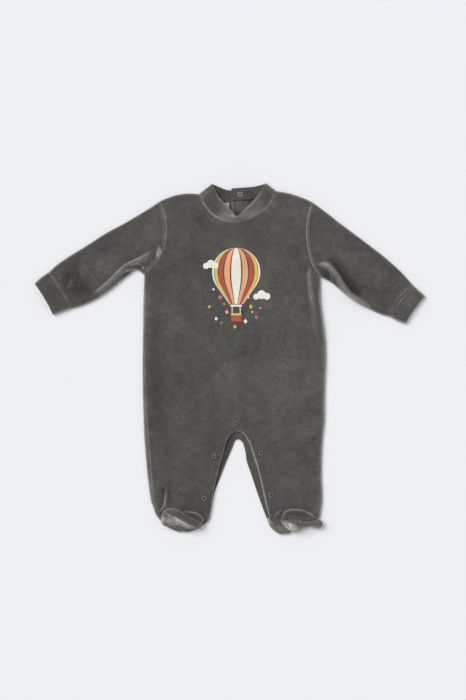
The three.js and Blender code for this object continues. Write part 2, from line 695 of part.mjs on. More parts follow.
// A flat strip a little above the back, between its edges.
function makeStrip(name, { left, right, top, bottom }, z, thickness, finish) {
  const shape = new THREE.Shape([
    new THREE.Vector2(left, bottom),
    new THREE.Vector2(right, bottom),
    new THREE.Vector2(right, top),
    new THREE.Vector2(left, top),
  ]);
  const geometry = new THREE.ExtrudeGeometry(shape, { depth: thickness, bevelEnabled: false });
  geometry.translate(0, 0, z);
  return piece(name, geometry, finish);
}

const CREST_POWER = 1.5;
const LEAF_SHARES = [0.35, 0.7, 1];   // columns on each side of the crest

// A vamp or sole: a shallow shell with a crest between its two edges, over the cloth below.
function makeLeaf(name, rows) {
  const near = edge(rows, ['nearX', 'nearY', 'nearZ']);
  const far = edge(rows, ['farX', 'farY', 'farZ']);
  const crest = edge(rows, ['crestZ', 'crestAt']);
  const grid = [];
  for (let s = 0; s <= rows.length - 1; s += LEAF_STEP) {
    const [top, place] = crest(s);
    const swell = top - lerp(near(s)[2], far(s)[2], place);
    const columns = [0, ...LEAF_SHARES.map((share) => share * place),
      ...LEAF_SHARES.map((share) => lerp(place, 1, share))];
    grid.push(columns.map((v) => {
      const [x, y] = mix(near(s), far(s), v);
      const fromCrest = v < place ? 1 - v / place : (v - place) / (1 - place);
      const rise = lerp(near(s)[2], far(s)[2], v) + swell * (1 - fromCrest ** CREST_POWER);
      return { at: [x, y, TOP + foldHeight(x, y) + REST_GAP + WALL + rise], normal: [0, 0, 1] };
    }));
  }
  return piece(name, wall([{ rows: grid }], WALL, true), VELOUR);
}

function makeRing(name, x, y, under) {
  const geometry = new THREE.TorusGeometry(RING_RADIUS, RING_WIRE, RING_SIDES, RING_TURNS);
  geometry.translate(x, y, under + REST_GAP + RING_WIRE);
  return piece(name, geometry, NICKEL);
}

const halfGap = SEAM_GAP / 2;
const garment = new THREE.Group();
garment.add(
  makeFront(),
  makeBack('back_left', BACK_LEFT_INNER, FRONT_LEFT, 5, false, -halfGap),
  makeBack('back_right', BACK_RIGHT_INNER, FRONT_RIGHT, 3, true, halfGap),
  makeSleeve('sleeve_left', SLEEVE_LEFT, FRONT_LEFT, -1),
  makeSleeve('sleeve_right', SLEEVE_RIGHT, FRONT_RIGHT, 1),
  makeCuff('cuff_left', CUFF_LEFT, -1),
  makeCuff('cuff_right', CUFF_RIGHT, 1),
  makeCollar(),
  makeStrip('placket', PLACKET, WALL + REST_GAP, STRIP_WALL, VELOUR),
  makeStrip('label', LABEL, WALL + REST_GAP, LABEL_WALL, LABEL_WHITE),
  makeHeel('heel_left', HEEL_LEFT),
  makeHeel('heel_right', HEEL_RIGHT),
  makeLeaf('sole_left', SOLE_LEFT),
  makeLeaf('vamp_left', VAMP_LEFT),
  makeLeaf('sole_right', SOLE_RIGHT),
  makeLeaf('vamp_right', VAMP_RIGHT),
);
for (const { name, x, y } of SNAPS) garment.add(makeRing(name, x, y, TOP + foldHeight(x, y)));
garment.add(makeRing(NECK_SNAP.name, NECK_SNAP.x, NECK_SNAP.y, UNDER));

export default garment;
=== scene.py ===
# A footed baby sleepsuit in dark grey velour, laid flat on its back on a pale table.
# Tables are in millimetres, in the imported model's frame: X runs across the garment, Y from the
# feet to the neck, and Z up from the table. Left and right are as the camera sees them.
import math
import bpy
import numpy as np
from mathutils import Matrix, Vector, noise


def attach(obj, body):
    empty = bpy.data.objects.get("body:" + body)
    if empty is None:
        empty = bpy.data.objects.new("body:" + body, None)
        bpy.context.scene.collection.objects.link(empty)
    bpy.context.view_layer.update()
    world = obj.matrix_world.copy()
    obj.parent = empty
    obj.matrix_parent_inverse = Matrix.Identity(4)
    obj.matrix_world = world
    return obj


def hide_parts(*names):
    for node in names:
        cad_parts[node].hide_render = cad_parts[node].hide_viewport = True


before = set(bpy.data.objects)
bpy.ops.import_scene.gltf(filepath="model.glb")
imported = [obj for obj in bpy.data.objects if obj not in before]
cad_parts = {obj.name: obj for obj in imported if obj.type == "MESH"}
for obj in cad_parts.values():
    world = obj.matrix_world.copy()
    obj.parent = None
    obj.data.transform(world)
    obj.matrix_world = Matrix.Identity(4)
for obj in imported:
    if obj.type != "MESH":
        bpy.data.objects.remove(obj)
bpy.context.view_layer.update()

MM = 0.001
WALL = 1.8                 # velour, one layer
BAND_WALL = 2.4            # velour doubled over
STRIP_WALL = 1.2
LABEL_WALL = 1.0
SEAM_GAP = 0.4
REST_GAP = 0.35
ROLL = 2.3                 # radius of a rolled edge
BAND_ROLL = 3.0
CUFF_ROLL = 3.0
EDGE_LIFT = 0.09
TOP = 2 * ROLL

BODY_STEP = 2.0            # between two rows or columns of the body
SLEEVE_STEP = 1.4
UNDER_STEP = 4.5           # the same underneath
ROLL_COLUMNS = 10
EDGE_COLUMNS = (2.4, 1.6, 1.1, 0.7, 0.4, 0.15, 0)
SEAM_BULGE = 0.14          # how round a sewn edge is, and a folded or free one
FREE_BULGE = 0.7

SEAM_DIP = 0.8             # how far a sewn edge rolls down, and over what width
SEAM_WIDTH = 1.2
ALLOWANCE_RISE = 0.55      # band that the seam allowance raises beside an armhole
ALLOWANCE_WIDTH = 4.8
ALLOWANCE_FALL = 1.4
CUFF_DIP = 0.5


def table(names, rows):
    """Named columns, each an array with one value for each row."""
    return dict(zip(names.split(), np.array(rows, float).T))


# Sections of half a body, from the neck point to the ankle. The inner edge runs round the
# neckline, down the middle and along the inseam, the outer edge down the armhole, the side and
# the leg. Wrap is how far the side seam has moved onto the front.
HALF = "inner_x inner_y outer_x outer_y wrap"
NECK_CORNER = 5
UNDERARM = 7
CROTCH = 11

FRONT_LEFT = table(HALF, [
    (-46, 246.5, -104, 236, 0),
    (-40, 235, -97.5, 220, 0),
    (-31, 221.5, -94, 200.5, 0),
    (-20, 212, -94.5, 181, 0),
    (-5, 206.5, -98, 163, 0),
    (11, 206, -106, 148, 0),
    (11, 184, -118, 134.5, 0),
    (11, 163, -127.5, 125.5, 0),
    (11, 103, -129, 88, 1),
    (11, 28, -130, 20.5, 2),
    (11, -47, -130, -54.5, 4.5),
    (11, -108.5, -128.5, -99.5, 6),
    (4, -111.5, -128, -114.5, 6.5),
    (-2, -119.5, -127, -129.5, 7),
    (-11, -147.5, -125, -155, 7),
    (-19, -177.5, -122, -185, 6.5),
    (-25.5, -209, -118, -212, 5),
    (-28.5, -231.5, -111, -232, 3),
])
FRONT_RIGHT = table(HALF, [
    (70, 251, 124, 234.5, 0),
    (66, 241, 118.5, 220, 0),
    (58, 229, 115, 200.5, 0),
    (46, 218, 115, 181, 0),
    (29, 209.5, 118, 160, 0),
    (11, 206, 123, 142, 0),
    (11, 184, 129, 131.5, 0),
    (11, 163, 136, 122.5, 0),
    (11, 103, 136.5, 91, 1),
    (11, 28, 144.5, 20.5, 1),
    (11, -47, 143, -54.5, 1),
    (11, -108.5, 142, -99.5, 1),
    (19, -111, 140, -116, 1),
    (27, -120.5, 139, -129.5, 1),
    (36, -144.5, 138, -155, 1),
    (45, -174.5, 138, -185, 1),
    (53, -210.5, 139, -212, 1),
    (60, -238.3, 136, -234.5, 1),
])
BACK_LEFT_INNER = table("inner_x inner_y", [
    (-46, 246.5), (-40, 242), (-31, 239), (-19, 237.2), (-2, 236.2), (13, 236),
    (13, 184), (13, 163), (13, 103), (13, 28), (13, -47), (13, -120.5),
    (9, -122), (5, -131), (-4, -152), (-13.5, -176), (-24.5, -207.5), (-28.5, -231.5),
])
BACK_RIGHT_INNER = table("inner_x inner_y", [
    (70, 251), (62, 245.5), (53, 242), (42, 239.5), (29, 237.6), (13, 236),
    (13, 184), (13, 163), (13, 103), (13, 28), (13, -47), (13, -120.5),
    (17, -122.5), (23, -135.5), (25.5, -152), (33, -174.5), (44, -207.5), (55.5, -238.5),
])
SHOULDER_BOW = {"left": 5, "right": 3}

# Sections of a sleeve, a cuff or the back of a foot.
TUBE = "upper_x upper_y lower_x lower_y"
SLEEVE_LEFT = table(TUBE, [
    (-104, 236, -127.5, 125.5),
    (-124, 223, -139, 133),
    (-154, 205, -152, 125),
    (-187, 187, -175, 106),
    (-215, 169, -194, 92.5),
    (-244, 151, -214, 82.5),
    (-260, 139.5, -227, 77.5),
    (-271, 129.5, -237, 75.5),
])
SLEEVE_RIGHT = table(TUBE, [
    (124, 234.5, 136, 122.5),
    (140, 223, 152, 114.5),
    (163, 205, 163, 105.5),
    (187, 187, 176, 94),
    (211, 169, 191, 83.5),
    (238, 147.5, 209, 74.5),
    (257, 130, 226, 67),
    (275, 110, 241, 62.5),
])
CUFF_LEFT = table(TUBE, [
    (-271, 129.5, -237, 75.5),
    (-282, 122, -251, 70.5),
    (-292, 113, -264, 65.5),
])
CUFF_RIGHT = table(TUBE, [
    (275, 110, 241, 62.5),
    (284, 102, 251, 57),
    (292.5, 94.5, 262.5, 52.5),
])
SLEEVE_LENGTH = 190
CUFF_SEAM_BOW = 3
CUFF_END_BOW = 1.5
HEEL_LEFT = table(TUBE, [
    (-111, -232, -28.5, -231.5),
    (-109.5, -236, -29.5, -238),
    (-105, -241, -32.5, -244),
    (-97, -249, -41, -251),
    (-86, -256, -51, -256.5),
    (-76, -259.6, -63, -259.8),
])
HEEL_RIGHT = table(TUBE, [
    (55.5, -238.5, 136, -234.5),
    (57.5, -243, 133, -240),
    (60, -250.5, 122, -246),
    (66, -257.5, 108, -252),
    (72, -261.5, 97, -257),
    (79, -263.4, 88, -262.8),
])

# Sections of the neck band from its lapped end, round the front, to its other end.
BAND = "seam_x seam_y edge_x edge_y seam_z stand"
UNDER_LAP = 2.7
BACK_LEFT_BAND = table(BAND, [
    (28, 238.4, 28, 251, 0, 0),
    (12, 236.8, 12, 251, 0, 0),
    (-5, 237, -4, 252, 0, 0),
    (-22, 238.3, -15, 256, 0, 0),
    (-36, 241.6, -22.5, 259.3, 0, 0),
])
FRONT_BAND = table(BAND, [
    (-40, 235.4, -22.5, 253, 6, 2),
    (-31, 222, -16, 241, 6, 5),
    (-20, 212.4, -7.5, 230.5, 6, 9),
    (-5, 207, 1, 221, 6, 13),
    (11, 206.5, 10.8, 212, 6, 15),
    (29, 210, 22.5, 221.5, 6, 13),
    (46, 218.5, 33, 231.5, 6, 9),
    (58, 229.4, 42, 242, 6, 5),
    (66, 241.3, 49.5, 252.5, 6, 2),
])
BACK_RIGHT_BAND = table(BAND, [
    (62, 246.3, 51.5, 260.5, 0, 0),
    (53, 242.8, 44.5, 258.5, 0, 0),
    (42, 240.3, 35, 256.5, 0, 0),
    (30, 239.4, 26, 255.5, UNDER_LAP, 0),
    (4, 238.2, 4, 254, UNDER_LAP, 0),
])
BAND_FOLDS = {
    "left": {"seam": (-45.5, 246.8), "edge": (-26.5, 261.8)},
    "right": {"seam": (69.4, 251.5), "edge": (55.5, 262.6)},
}

PLACKET = {"left": 3, "right": 29, "top": 236, "bottom": 160}
LABEL = {"left": -13, "right": -0.4, "top": 233, "bottom": 214}

# A vamp or sole turned up over the ankle: its near edge, towards the toe, its far edge, and how
# high each edge and the crest between them stand over the cloth below.
LEAF = "near_x near_y far_x far_y near_z crest_z far_z crest_at"
SOLE_LEFT = table(LEAF, [
    (-102, -245, -101.8, -236.5, 0, 1, 0.5, 0.9),
    (-98.5, -249.5, -99.5, -229.5, 0, 4, 1.5, 0.86),
    (-88, -250.5, -92, -224, 0, 6.5, 3, 0.68),
    (-76, -250, -80, -225, 0, 8, 3.5, 0.46),
    (-65, -253.5, -68.5, -231, 0, 8, 3.5, 0.34),
    (-55, -255, -56, -238, 0, 7, 3, 0.3),
    (-46, -254.3, -46, -242.3, 0, 4, 2, 0.3),
    (-40, -249, -40.5, -245.4, 0, 1, 0.5, 0.4),
])
VAMP_LEFT = table(LEAF, [
    (-70, -229.2, -68, -227, 0.5, 0.5, 0, 0.5),
    (-62, -234, -60, -228.3, 1, 1.5, 1.5, 0.6),
    (-53, -238.8, -50, -229.8, 1, 1.5, 2.5, 0.7),
    (-44.5, -241.6, -41.5, -235.5, 1, 1.5, 2, 0.7),
    (-39, -243.4, -38, -240, 0.5, 0.5, 0, 0.5),
])
SOLE_RIGHT = table(LEAF, [
    (77, -244, 77, -241, 0, 1, 0.5, 0.5),
    (82, -250, 85, -240.8, 0, 5, 2.5, 0.64),
    (90, -256.3, 92, -239.9, 0, 8, 3.5, 0.6),
    (98, -259.3, 99, -240.1, 0, 8, 3.5, 0.59),
    (109, -253.3, 108, -241.7, 0, 6.5, 3, 0.6),
    (119, -251.5, 118, -242.8, 0, 5, 3, 0.55),
    (130, -253.6, 129.5, -240.8, 0, 4.5, 2, 0.5),
    (136.3, -252.3, 135.3, -240.9, 0, 3.5, 1.5, 0.5),
    (139.2, -248.5, 138.8, -243.5, 0, 1.5, 1, 0.5),
])
VAMP_RIGHT = table(LEAF, [
    (78, -240.4, 78, -236, 0.5, 0.5, 0, 0.5),
    (84, -240.2, 83, -228.3, 1, 2, 2.5, 0.7),
    (92, -239.3, 92, -225.2, 1, 2, 3, 0.75),
    (106, -240.8, 106, -225.7, 1, 2, 3, 0.75),
    (119, -242, 120, -231, 1, 2, 2.5, 0.7),
    (132, -239.7, 132.6, -238, 0.5, 1, 0.5, 0.5),
])

# How the cloth falls from a crest on one side: the powers in (1 - t ** a) ** b
ROUND = (2, 2)
CREASE = (1, 1.6)
DROP = (2, 1.15)

# Crests that the folds and the lie of the pile share
SLEEVE_CREST = [(-199, 101.5), (-187, 111.5), (-175, 123), (-166, 132), (-157, 140.5),
                (-145, 146.5), (-133, 152), (-121, 158.5)]
SIDE_CREST = [(127.5, 66), (125, 84), (122.3, 103), (120.5, 120), (118.5, 136), (116, 145)]

# Folds and creases of the upper layer: a crest, or a valley where the height is negative, along
# each path, and how wide it is and how it falls to the right and left of the way the path runs.
FOLDS = [
    # path, height, right side, left side
    # fold of the left sleeve from the armpit
    ([(-209, 93), *SLEEVE_CREST, (-110, 162)], 5.5, (14, CREASE), (55, ROUND)),
    # what lies below it: a small roll, a hook at the armpit and the hollow between them
    ([(-161, 125), (-155, 132), (-148, 133.5), (-139, 134)], 2, (3.5, ROUND), (4, ROUND)),
    ([(-130.5, 141), (-129.5, 136), (-132, 131)], 1.8, (3, ROUND), (3.5, ROUND)),
    ([(-148, 138), (-139, 139.5), (-132, 138)], -1.2, (4, ROUND), (4, ROUND)),
    # bump beside the seam, and the soft hollow next to it
    ([(-106, 172), (-104.5, 163), (-107, 155), (-112, 148)], 3.6, (5, ROUND), (5, ROUND)),
    ([(-122, 155), (-121, 146), (-121.5, 137)], -0.6, (5, ROUND), (5, ROUND)),
    # pipe of the right sleeve from the armpit, the strip in its hollow, and the sleeve above it
    ([(216, 76), (202, 80), (189, 87), (181, 92.5), (175, 98.5), (170, 105), (166, 112),
      (160, 122.5), (154.5, 130), (151, 136), (146, 139.5), (138, 141.5), (127, 141)], 8,
     (6.5, DROP), (4.5, DROP)),
    ([(149, 131), (153, 122), (158, 113)], 1.8, (2.6, ROUND), (2.6, ROUND)),
    ([(226, 102), (206, 116), (190, 130), (172, 146), (150, 160)], 2.6, (24, ROUND), (24, ROUND)),
    # fold down the right side from the armpit
    ([(137, 15), (131, 45), *SIDE_CREST], 2.2, (24, ROUND), (9, ROUND)),
    (SIDE_CREST, 2.2, (14, ROUND), (4.8, ROUND)),
    # ease of the body, the belly and the seat
    ([(-75, 180), (-82, 90), (-80, -20), (-70, -110)], 1.6, (40, ROUND), (30, ROUND)),
    ([(85, 170), (80, 90), (85, 0), (80, -110)], 1.6, (40, ROUND), (40, ROUND)),
    ([(-25, -10), (-8, -60), (-12, -104)], 1.6, (16, ROUND), (16, ROUND)),
    ([(32, -40), (40, -90), (62, -140)], 1.4, (20, ROUND), (20, ROUND)),
    ([(40, 160), (62, 186), (92, 205)], 1.2, (18, ROUND), (18, ROUND)),
    ([(-60, -130), (-66, -170), (-62, -215)], 2.2, (28, ROUND), (22, ROUND)),
    ([(88, -130), (96, -170), (100, -215)], 2.2, (28, ROUND), (28, ROUND)),
    # the placket under the front
    ([(16, 240), (16, 128)], 2.4, (24, ROUND), (24, ROUND)),
    # crease into the left ankle, and the heels
    ([(-112, -233), (-104, -227), (-97.5, -218), (-95.5, -207), (-95, -190)], 2.2,
     (9, ROUND), (3.6, ROUND)),
    ([(-103, -240), (-86, -249), (-66, -252), (-46, -249), (-34, -240)], 1.2,
     (9, ROUND), (9, ROUND)),
    ([(62, -238), (67, -249), (78, -256), (96, -252), (118, -245)], 1.2, (9, ROUND), (9, ROUND)),
    ([(68, -240), (69.5, -234), (72, -230.5), (75, -228), (81, -225)], 2, (4, ROUND), (4, ROUND)),
    ([(57, -236), (59.5, -241.5), (63.5, -246.5), (69, -251)], 1.2, (2, ROUND), (4, ROUND)),
    # soft creases of the sleeves
    ([(-130, 212), (-148, 182), (-166, 158)], 2, (16, ROUND), (12, ROUND)),
    ([(-205, 168), (-213, 142), (-222, 112)], 2, (14, ROUND), (12, ROUND)),
    ([(-228, 132), (-231, 122), (-237, 110), (-248, 98)], 1.8, (7, ROUND), (6, ROUND)),
    ([(-248, 127), (-253, 121), (-259, 116)], 0.6, (3, ROUND), (3, ROUND)),
    ([(240, 132), (228, 112), (222, 96)], 1.8, (16, ROUND), (14, ROUND)),
    ([(190, 172), (186, 146), (196, 124)], 1.8, (16, ROUND), (16, ROUND)),
]
FOLD_END = 24              # length over which a fold fades at each end, and its width there
END_WIDTH = 0.5

UNDULATIONS = [
    # size, height
    (38, 0.45),
    (14, 0.16),
]


# Curves and heights

def curve(columns, names, corners=()):
    """A smooth curve through named columns, called with places counted in rows. It turns
    sharply at the rows named as corners."""
    points = np.stack([columns[name] for name in names.split()], axis=1)
    step = np.diff(points, axis=0)
    size = np.maximum(np.linalg.norm(step, axis=1, keepdims=True), 1e-6)
    slope = step / size
    start, end = slope.copy(), slope.copy()
    last = len(points) - 1
    for i in range(1, last):
        if i not in corners:
            before, after = size[i - 1], size[i]
            start[i] = end[i - 1] = (slope[i - 1] * after + slope[i] * before) / (before + after)

    def at(place):
        place = np.asarray(place, float)
        i = np.minimum(place.astype(int), last - 1)
        f = (place - i)[..., None]
        rise = f * f * (3 - 2 * f)
        here = points[i] + step[i] * rise
        return here + size[i] * f * (1 - f) * (start[i] * (1 - f) - end[i] * f)
    return at


def smooth(x):
    return x * x * (3 - 2 * x)


def bell(x):
    return np.exp(-x * x)


def lerp(a, b, t):
    return a + (b - a) * t


def distance(p, q):
    return np.linalg.norm(p - q, axis=-1)


def near_path(path, x, y):
    """How far each point is from a path, on which side, and how far the nearest place is from
    the nearer end of the path."""
    lengths = np.linalg.norm(np.diff(path, axis=0), axis=1)
    starts = np.concatenate([[0], np.cumsum(lengths)])
    away = np.full(x.shape, np.inf)
    side, along = np.zeros(x.shape), np.zeros(x.shape)
    for i, length in enumerate(lengths):
        dx, dy = (path[i + 1] - path[i]) / length
        px, py = x - path[i][0], y - path[i][1]
        t = np.clip(px * dx + py * dy, 0, length)
        here = np.hypot(px - dx * t, py - dy * t)
        nearer = here < away
        away = np.where(nearer, here, away)
        side = np.where(nearer, dx * py - dy * px, side)
        along = np.where(nearer, starts[i] + t, along)
    return away, side, np.minimum(along, starts[-1] - along)


def rounded(path):
    """The same path with its corners rounded."""
    points = dict(zip("xy", np.array(path, float).T))
    return curve(points, "x y")(np.linspace(0, len(path) - 1, 7 * (len(path) - 1) + 1))


def fade(path, to_end, longest):
    """Falls from 1 to 0 toward the ends of a path, over half of it at the most."""
    length = np.linalg.norm(np.diff(path, axis=0), axis=1).sum()
    return smooth(np.clip(to_end / min(longest, length / 2), 0, 1))


ROUNDED_FOLDS = [(rounded(path), *sizes) for path, *sizes in FOLDS]


def fold_height(x, y):
    height = np.zeros(x.shape)
    for path, rise, right, left in ROUNDED_FOLDS:
        away, side, to_end = near_path(path, x, y)
        ends = fade(path, to_end, FOLD_END)
        for on_side, (width, (power, outer_power)) in ((side <= 0, right), (side > 0, left)):
            t = np.clip(away / (width * lerp(END_WIDTH, 1, ends)), 0, 1)
            height += rise * ends * on_side * (1 - t ** power) ** outer_power
    return height


def undulation(x, y):
    height = np.zeros(x.size)
    for size, rise in UNDULATIONS:
        places = zip(x.ravel() / size, y.ravel() / size)
        height += rise * np.array([noise.noise((px, py, size)) for px, py in places])
    return height.reshape(x.shape)


def relief(x, y):
    """How far the upper layer rises over where it would lie smooth."""
    return fold_height(x, y) + undulation(x, y)


UNDER_SHARE = 0.3          # how much of a fold the layer underneath follows
UNDER_LIMIT = 1.2
UNDER_FROM = 0.6           # lower folds leave it on the table


def under_relief(x, y):
    """Hollows of the layer underneath, where it leaves the table."""
    return np.clip(UNDER_SHARE * (relief(x, y) - UNDER_FROM), 0, UNDER_LIMIT)


def roll_lift(inset, radius=ROLL):
    cosine = 1 - np.clip(inset / radius, 0, 1)
    return np.sqrt(1 - cosine * cosine)


def seam_profile(away, allowance=0.0):
    """Height beside a seam: the cloth rolls down into it. Where allowance is 1, the band that
    the seam allowance raises lies beside it."""
    turned = 1 - np.clip(1 - away / SEAM_WIDTH, 0, 1)
    roll = 1 - np.sqrt(1 - (1 - turned) ** 2)
    band = smooth(np.clip((ALLOWANCE_WIDTH + ALLOWANCE_FALL - away) / ALLOWANCE_FALL, 0, 1))
    return allowance * ALLOWANCE_RISE * band - SEAM_DIP * roll


def layer(xy, lift, side, radius=ROLL, extra=0.0):
    """Points of the upper layer, where side is 1, or of the layer underneath, where it is -1.
    Lift is 0 on the silhouette and 1 where the cloth lies flat."""
    x, y = xy[..., 0], xy[..., 1]
    upper = np.broadcast_to(side, x.shape) > 0
    rise = np.where(upper, relief(x, y) + extra, under_relief(x, y))
    z = radius + side * radius * lift + rise * lift ** 2
    return np.stack([x, y, z], axis=-1)


# Closed walls of cloth

def merged(grids):
    """Points and faces of grids that share edges. A ring joins its last column to its first."""
    points = np.concatenate([rows.reshape(-1, 3) for rows, _ in grids])
    _, first, index = np.unique(
        np.round(points, 3), axis=0, return_index=True, return_inverse=True)
    index = index.ravel()
    faces = []
    shift = 0
    for rows, ring in grids:
        count, width = rows.shape[:2]
        cell = index[shift:shift + count * width].reshape(count, width)
        if ring:
            cell = np.concatenate([cell, cell[:, :1]], axis=1)
        quads = np.stack([cell[:-1, :-1], cell[:-1, 1:], cell[1:, 1:], cell[1:, :-1]], axis=-1)
        faces.append(quads.reshape(-1, 4))
        shift += count * width
    return points[first], np.concatenate(faces)


def without_repeats(quads):
    """Faces as lists of corners, with a corner dropped where two of them meet."""
    faces = []
    for quad in quads.tolist():
        face = [p for k, p in enumerate(quad) if p != quad[k - 1]]
        if len(set(face)) == len(face) and len(face) > 2:
            faces.append(face)
    return faces


def face_normals(points, quads):
    across = points[quads[:, 2]] - points[quads[:, 0]]
    along = points[quads[:, 3]] - points[quads[:, 1]]
    return np.cross(across, along)


def unit(vectors):
    length = np.linalg.norm(vectors, axis=-1, keepdims=True)
    return vectors / np.maximum(length, 1e-9)


SLOPE_LIGHT = 1.7          # painted sheen: how much lighter the cloth is painted where it turns away
SLOPE_FULL = 0.32          # full where the upward part of its normal has fallen by this
SIDE_SHARE = 0.75          # how much of it is lost again where the cloth stands upright
UPRIGHT_FROM = 0.6
LIGHTER_SLOPE_WAY = (0.3, -0.4)         # slopes that face this way are painted lighter still, a painted highlight
CREST_LIGHT = 1.2          # painted highlight over a crest, full at a bend of so much a millimetre
CREST_FULL = 0.35
VALLEY_DARK = 0.5          # painted shade down in a valley
VALLEY_FULL = 0.25
LEAST_STEP = 0.2


def painted_sheen_and_shade(points, quads, normals):
    """Painted light and shade at each point, 1 where the cloth lies flat: a painted sheen where the cloth
    turns away, a painted highlight over a crest, and painted shade in a valley."""
    ends = np.concatenate([quads[:, [k, (k + 1) % 4]] for k in range(4)])
    here, there = ends[ends[:, 0] != ends[:, 1]].T
    step = points[there] - points[here]
    size = np.maximum((step ** 2).sum(axis=1), LEAST_STEP ** 2)
    bend, count = np.zeros(len(points)), np.zeros(len(points))
    for end, way in ((here, -2), (there, 2)):
        np.add.at(bend, end, way * (step * normals[end]).sum(axis=1) / size)
        np.add.at(count, end, 1)
    bend /= np.maximum(count, 1)
    tilt = 1 - np.abs(normals[:, 2])
    upright = np.clip((tilt - UPRIGHT_FROM) / (1 - UPRIGHT_FROM), 0, 1)
    slope = smooth(np.clip(tilt / SLOPE_FULL, 0, 1)) * (1 - SIDE_SHARE * upright)
    slope *= 1 + unit(normals[:, :2]) @ np.array(LIGHTER_SLOPE_WAY)
    crest = np.clip(bend / CREST_FULL, 0, 1)
    valley = np.clip(-bend / VALLEY_FULL, 0, 1)
    return 1 + SLOPE_LIGHT * slope + CREST_LIGHT * crest - VALLEY_DARK * valley


RIM_ANGLES = (50, 0, -50)


def wall(grids, thickness, bulge, turned, contrast):
    """Points and faces of cloth of one thickness under grids of its outer face, with a rounded rim along
    every free edge, and the painted light and shade at each point."""
    outer, quads = merged(grids)
    if turned:
        quads = quads[:, ::-1]
    normals = np.zeros_like(outer)
    facing = face_normals(outer, quads)
    for k in range(4):
        np.add.at(normals, quads[:, k], facing)
    normals = unit(normals)
    faces = without_repeats(quads)
    edges = {}
    for face in faces:
        for k, b in enumerate(face):
            edges[(face[k - 1], b)] = True
    free = [edge for edge in edges if (edge[1], edge[0]) not in edges]
    beyond = np.zeros_like(outer)
    for a, b in free:
        step = np.cross(outer[b] - outer[a], normals[a] + normals[b])
        beyond[a] += step
        beyond[b] += step
    beyond = unit(beyond)
    count = len(outer)
    middle = outer - normals * thickness / 2
    layers = [outer, outer - normals * thickness]
    rim = sorted({a for edge in free for a in edge})
    place = {a: k for k, a in enumerate(rim)}
    for degrees in RIM_ANGLES:
        angle = math.radians(degrees)
        up = normals[rim] * thickness / 2 * math.sin(angle)
        layers.append(middle[rim] + up + beyond[rim] * bulge * math.cos(angle))
    rings = [lambda a: a]
    for k in range(len(RIM_ANGLES)):
        rings.append(lambda a, start=2 * count + k * len(rim): start + place[a])
    rings.append(lambda a: a + count)
    inner = [[p + count for p in reversed(face)] for face in faces]
    sides = []
    for a, b in free:
        for near, far in zip(rings, rings[1:]):
            sides.append([near(b), near(a), far(a), far(b)])
    # painted sheen, highlights and shade from the cloth's slopes and bends
    light = lerp(1, painted_sheen_and_shade(outer, quads, normals), contrast)
    light = np.concatenate([light, np.ones(count)] + [light[rim]] * len(RIM_ANGLES))
    return np.concatenate(layers), faces + inner + sides, light


# Body

ARMHOLE_TOP = [0, 0.006, 0.015, 0.03, 0.05, 0.075, 0.105, 0.14]
ARMHOLE_FOOT = [6.8, 6.85, 6.89, 6.925, 6.953, 6.975, 6.99, 7]
ARMHOLE_ROW = 17           # length of one row of the tables down the armhole
SHOULDER_REACH = 3         # rows over which the bow of the shoulder fades
LEAST_ROLL = 0.2           # part of the roll's radius that its columns cover past the side seam
EDGE_POINTS = 60


def body_places(step):
    """Places of the rows of both halves: close where the shoulder and underarm turn."""
    places = ARMHOLE_TOP + list(np.arange(ARMHOLE_TOP[-1], ARMHOLE_FOOT[0], step / ARMHOLE_ROW)[1:-1])
    places += ARMHOLE_FOOT
    right = curve(FRONT_RIGHT, "outer_x outer_y", [UNDERARM])
    for i in range(UNDERARM, len(FRONT_RIGHT["wrap"]) - 1):
        count = round(distance(right(i), right(i + 1)) / step)
        places += [i + k / count for k in range(1, count + 1)]
    return np.array(places)


def half_layer(inner_rows, outer_rows, side, bow, step, inner_shift=0.0):
    """One layer of half a body, as a grid from its outer edge to its inner edge."""
    inner_at = curve(inner_rows, "inner_x inner_y", [NECK_CORNER, CROTCH])
    outer_at = curve(outer_rows, "outer_x outer_y", [UNDERARM])
    places = body_places(step)
    t = places[:, None]
    inner, outer = inner_at(places)[:, None], outer_at(places)[:, None]
    wrap = np.maximum(curve(outer_rows, "wrap")(places), 0)
    length = distance(inner, outer)
    seam = SEAM_GAP / 2 + np.where(t > UNDERARM, side * wrap, 0)
    rolled = np.maximum(ROLL * math.pi / 2, np.maximum(seam, 0) + ROLL * LEAST_ROLL)
    end = length - ROLL + ROLL * math.pi / 2
    flat_share = np.linspace(0, 1, round(float(length.max()) / step) + 1)[1:-1]
    arcs = np.concatenate([
        lerp(seam, rolled, np.linspace(0, 1, ROLL_COLUMNS + 1)),
        lerp(rolled, end - EDGE_COLUMNS[0], flat_share),
        end - np.array(EDGE_COLUMNS),
    ], axis=1)
    angle = np.clip(arcs / ROLL, -math.pi / 2, math.pi / 2)
    beyond = np.abs(arcs) - ROLL * math.pi / 2
    inset = np.where(beyond > 0, ROLL + beyond, ROLL * (1 - np.cos(angle)))
    along = inset / length

    def at(place, ends):
        rise = 4 * bow * along * (1 - along) * np.clip(1 - place / SHOULDER_REACH, 0, 1) ** 2
        xy = lerp(ends[0], ends[1], along[..., None])
        return xy + np.stack([inner_shift * smooth(along), rise], axis=-1)

    xy = at(t, (outer, inner))
    top = at(0.0, (outer_at(0.0), inner_at(0.0)))
    near = np.minimum(distance(top, xy), distance(outer_at(float(UNDERARM)), xy))
    below = t > UNDERARM
    lift = np.where(below, np.abs(np.sin(angle)), np.maximum(roll_lift(near), EDGE_LIFT))
    sides = np.where(below, side * np.sign(np.sin(angle)), side)
    from_seam = seam_profile(arcs - seam)
    neckline = inner_at(np.linspace(0, NECK_CORNER, EDGE_POINTS))
    inseam = inner_at(np.linspace(CROTCH, places[-1], EDGE_POINTS))
    open_edge = sum(seam_profile(near_path(edge, xy[..., 0], xy[..., 1])[0])
                    for edge in (neckline, inseam))
    extra = (from_seam + open_edge) * smooth(np.clip(lift, 0, 1))
    return layer(xy, lift, sides, extra=extra)


# Sleeves, cuffs and the backs of the feet

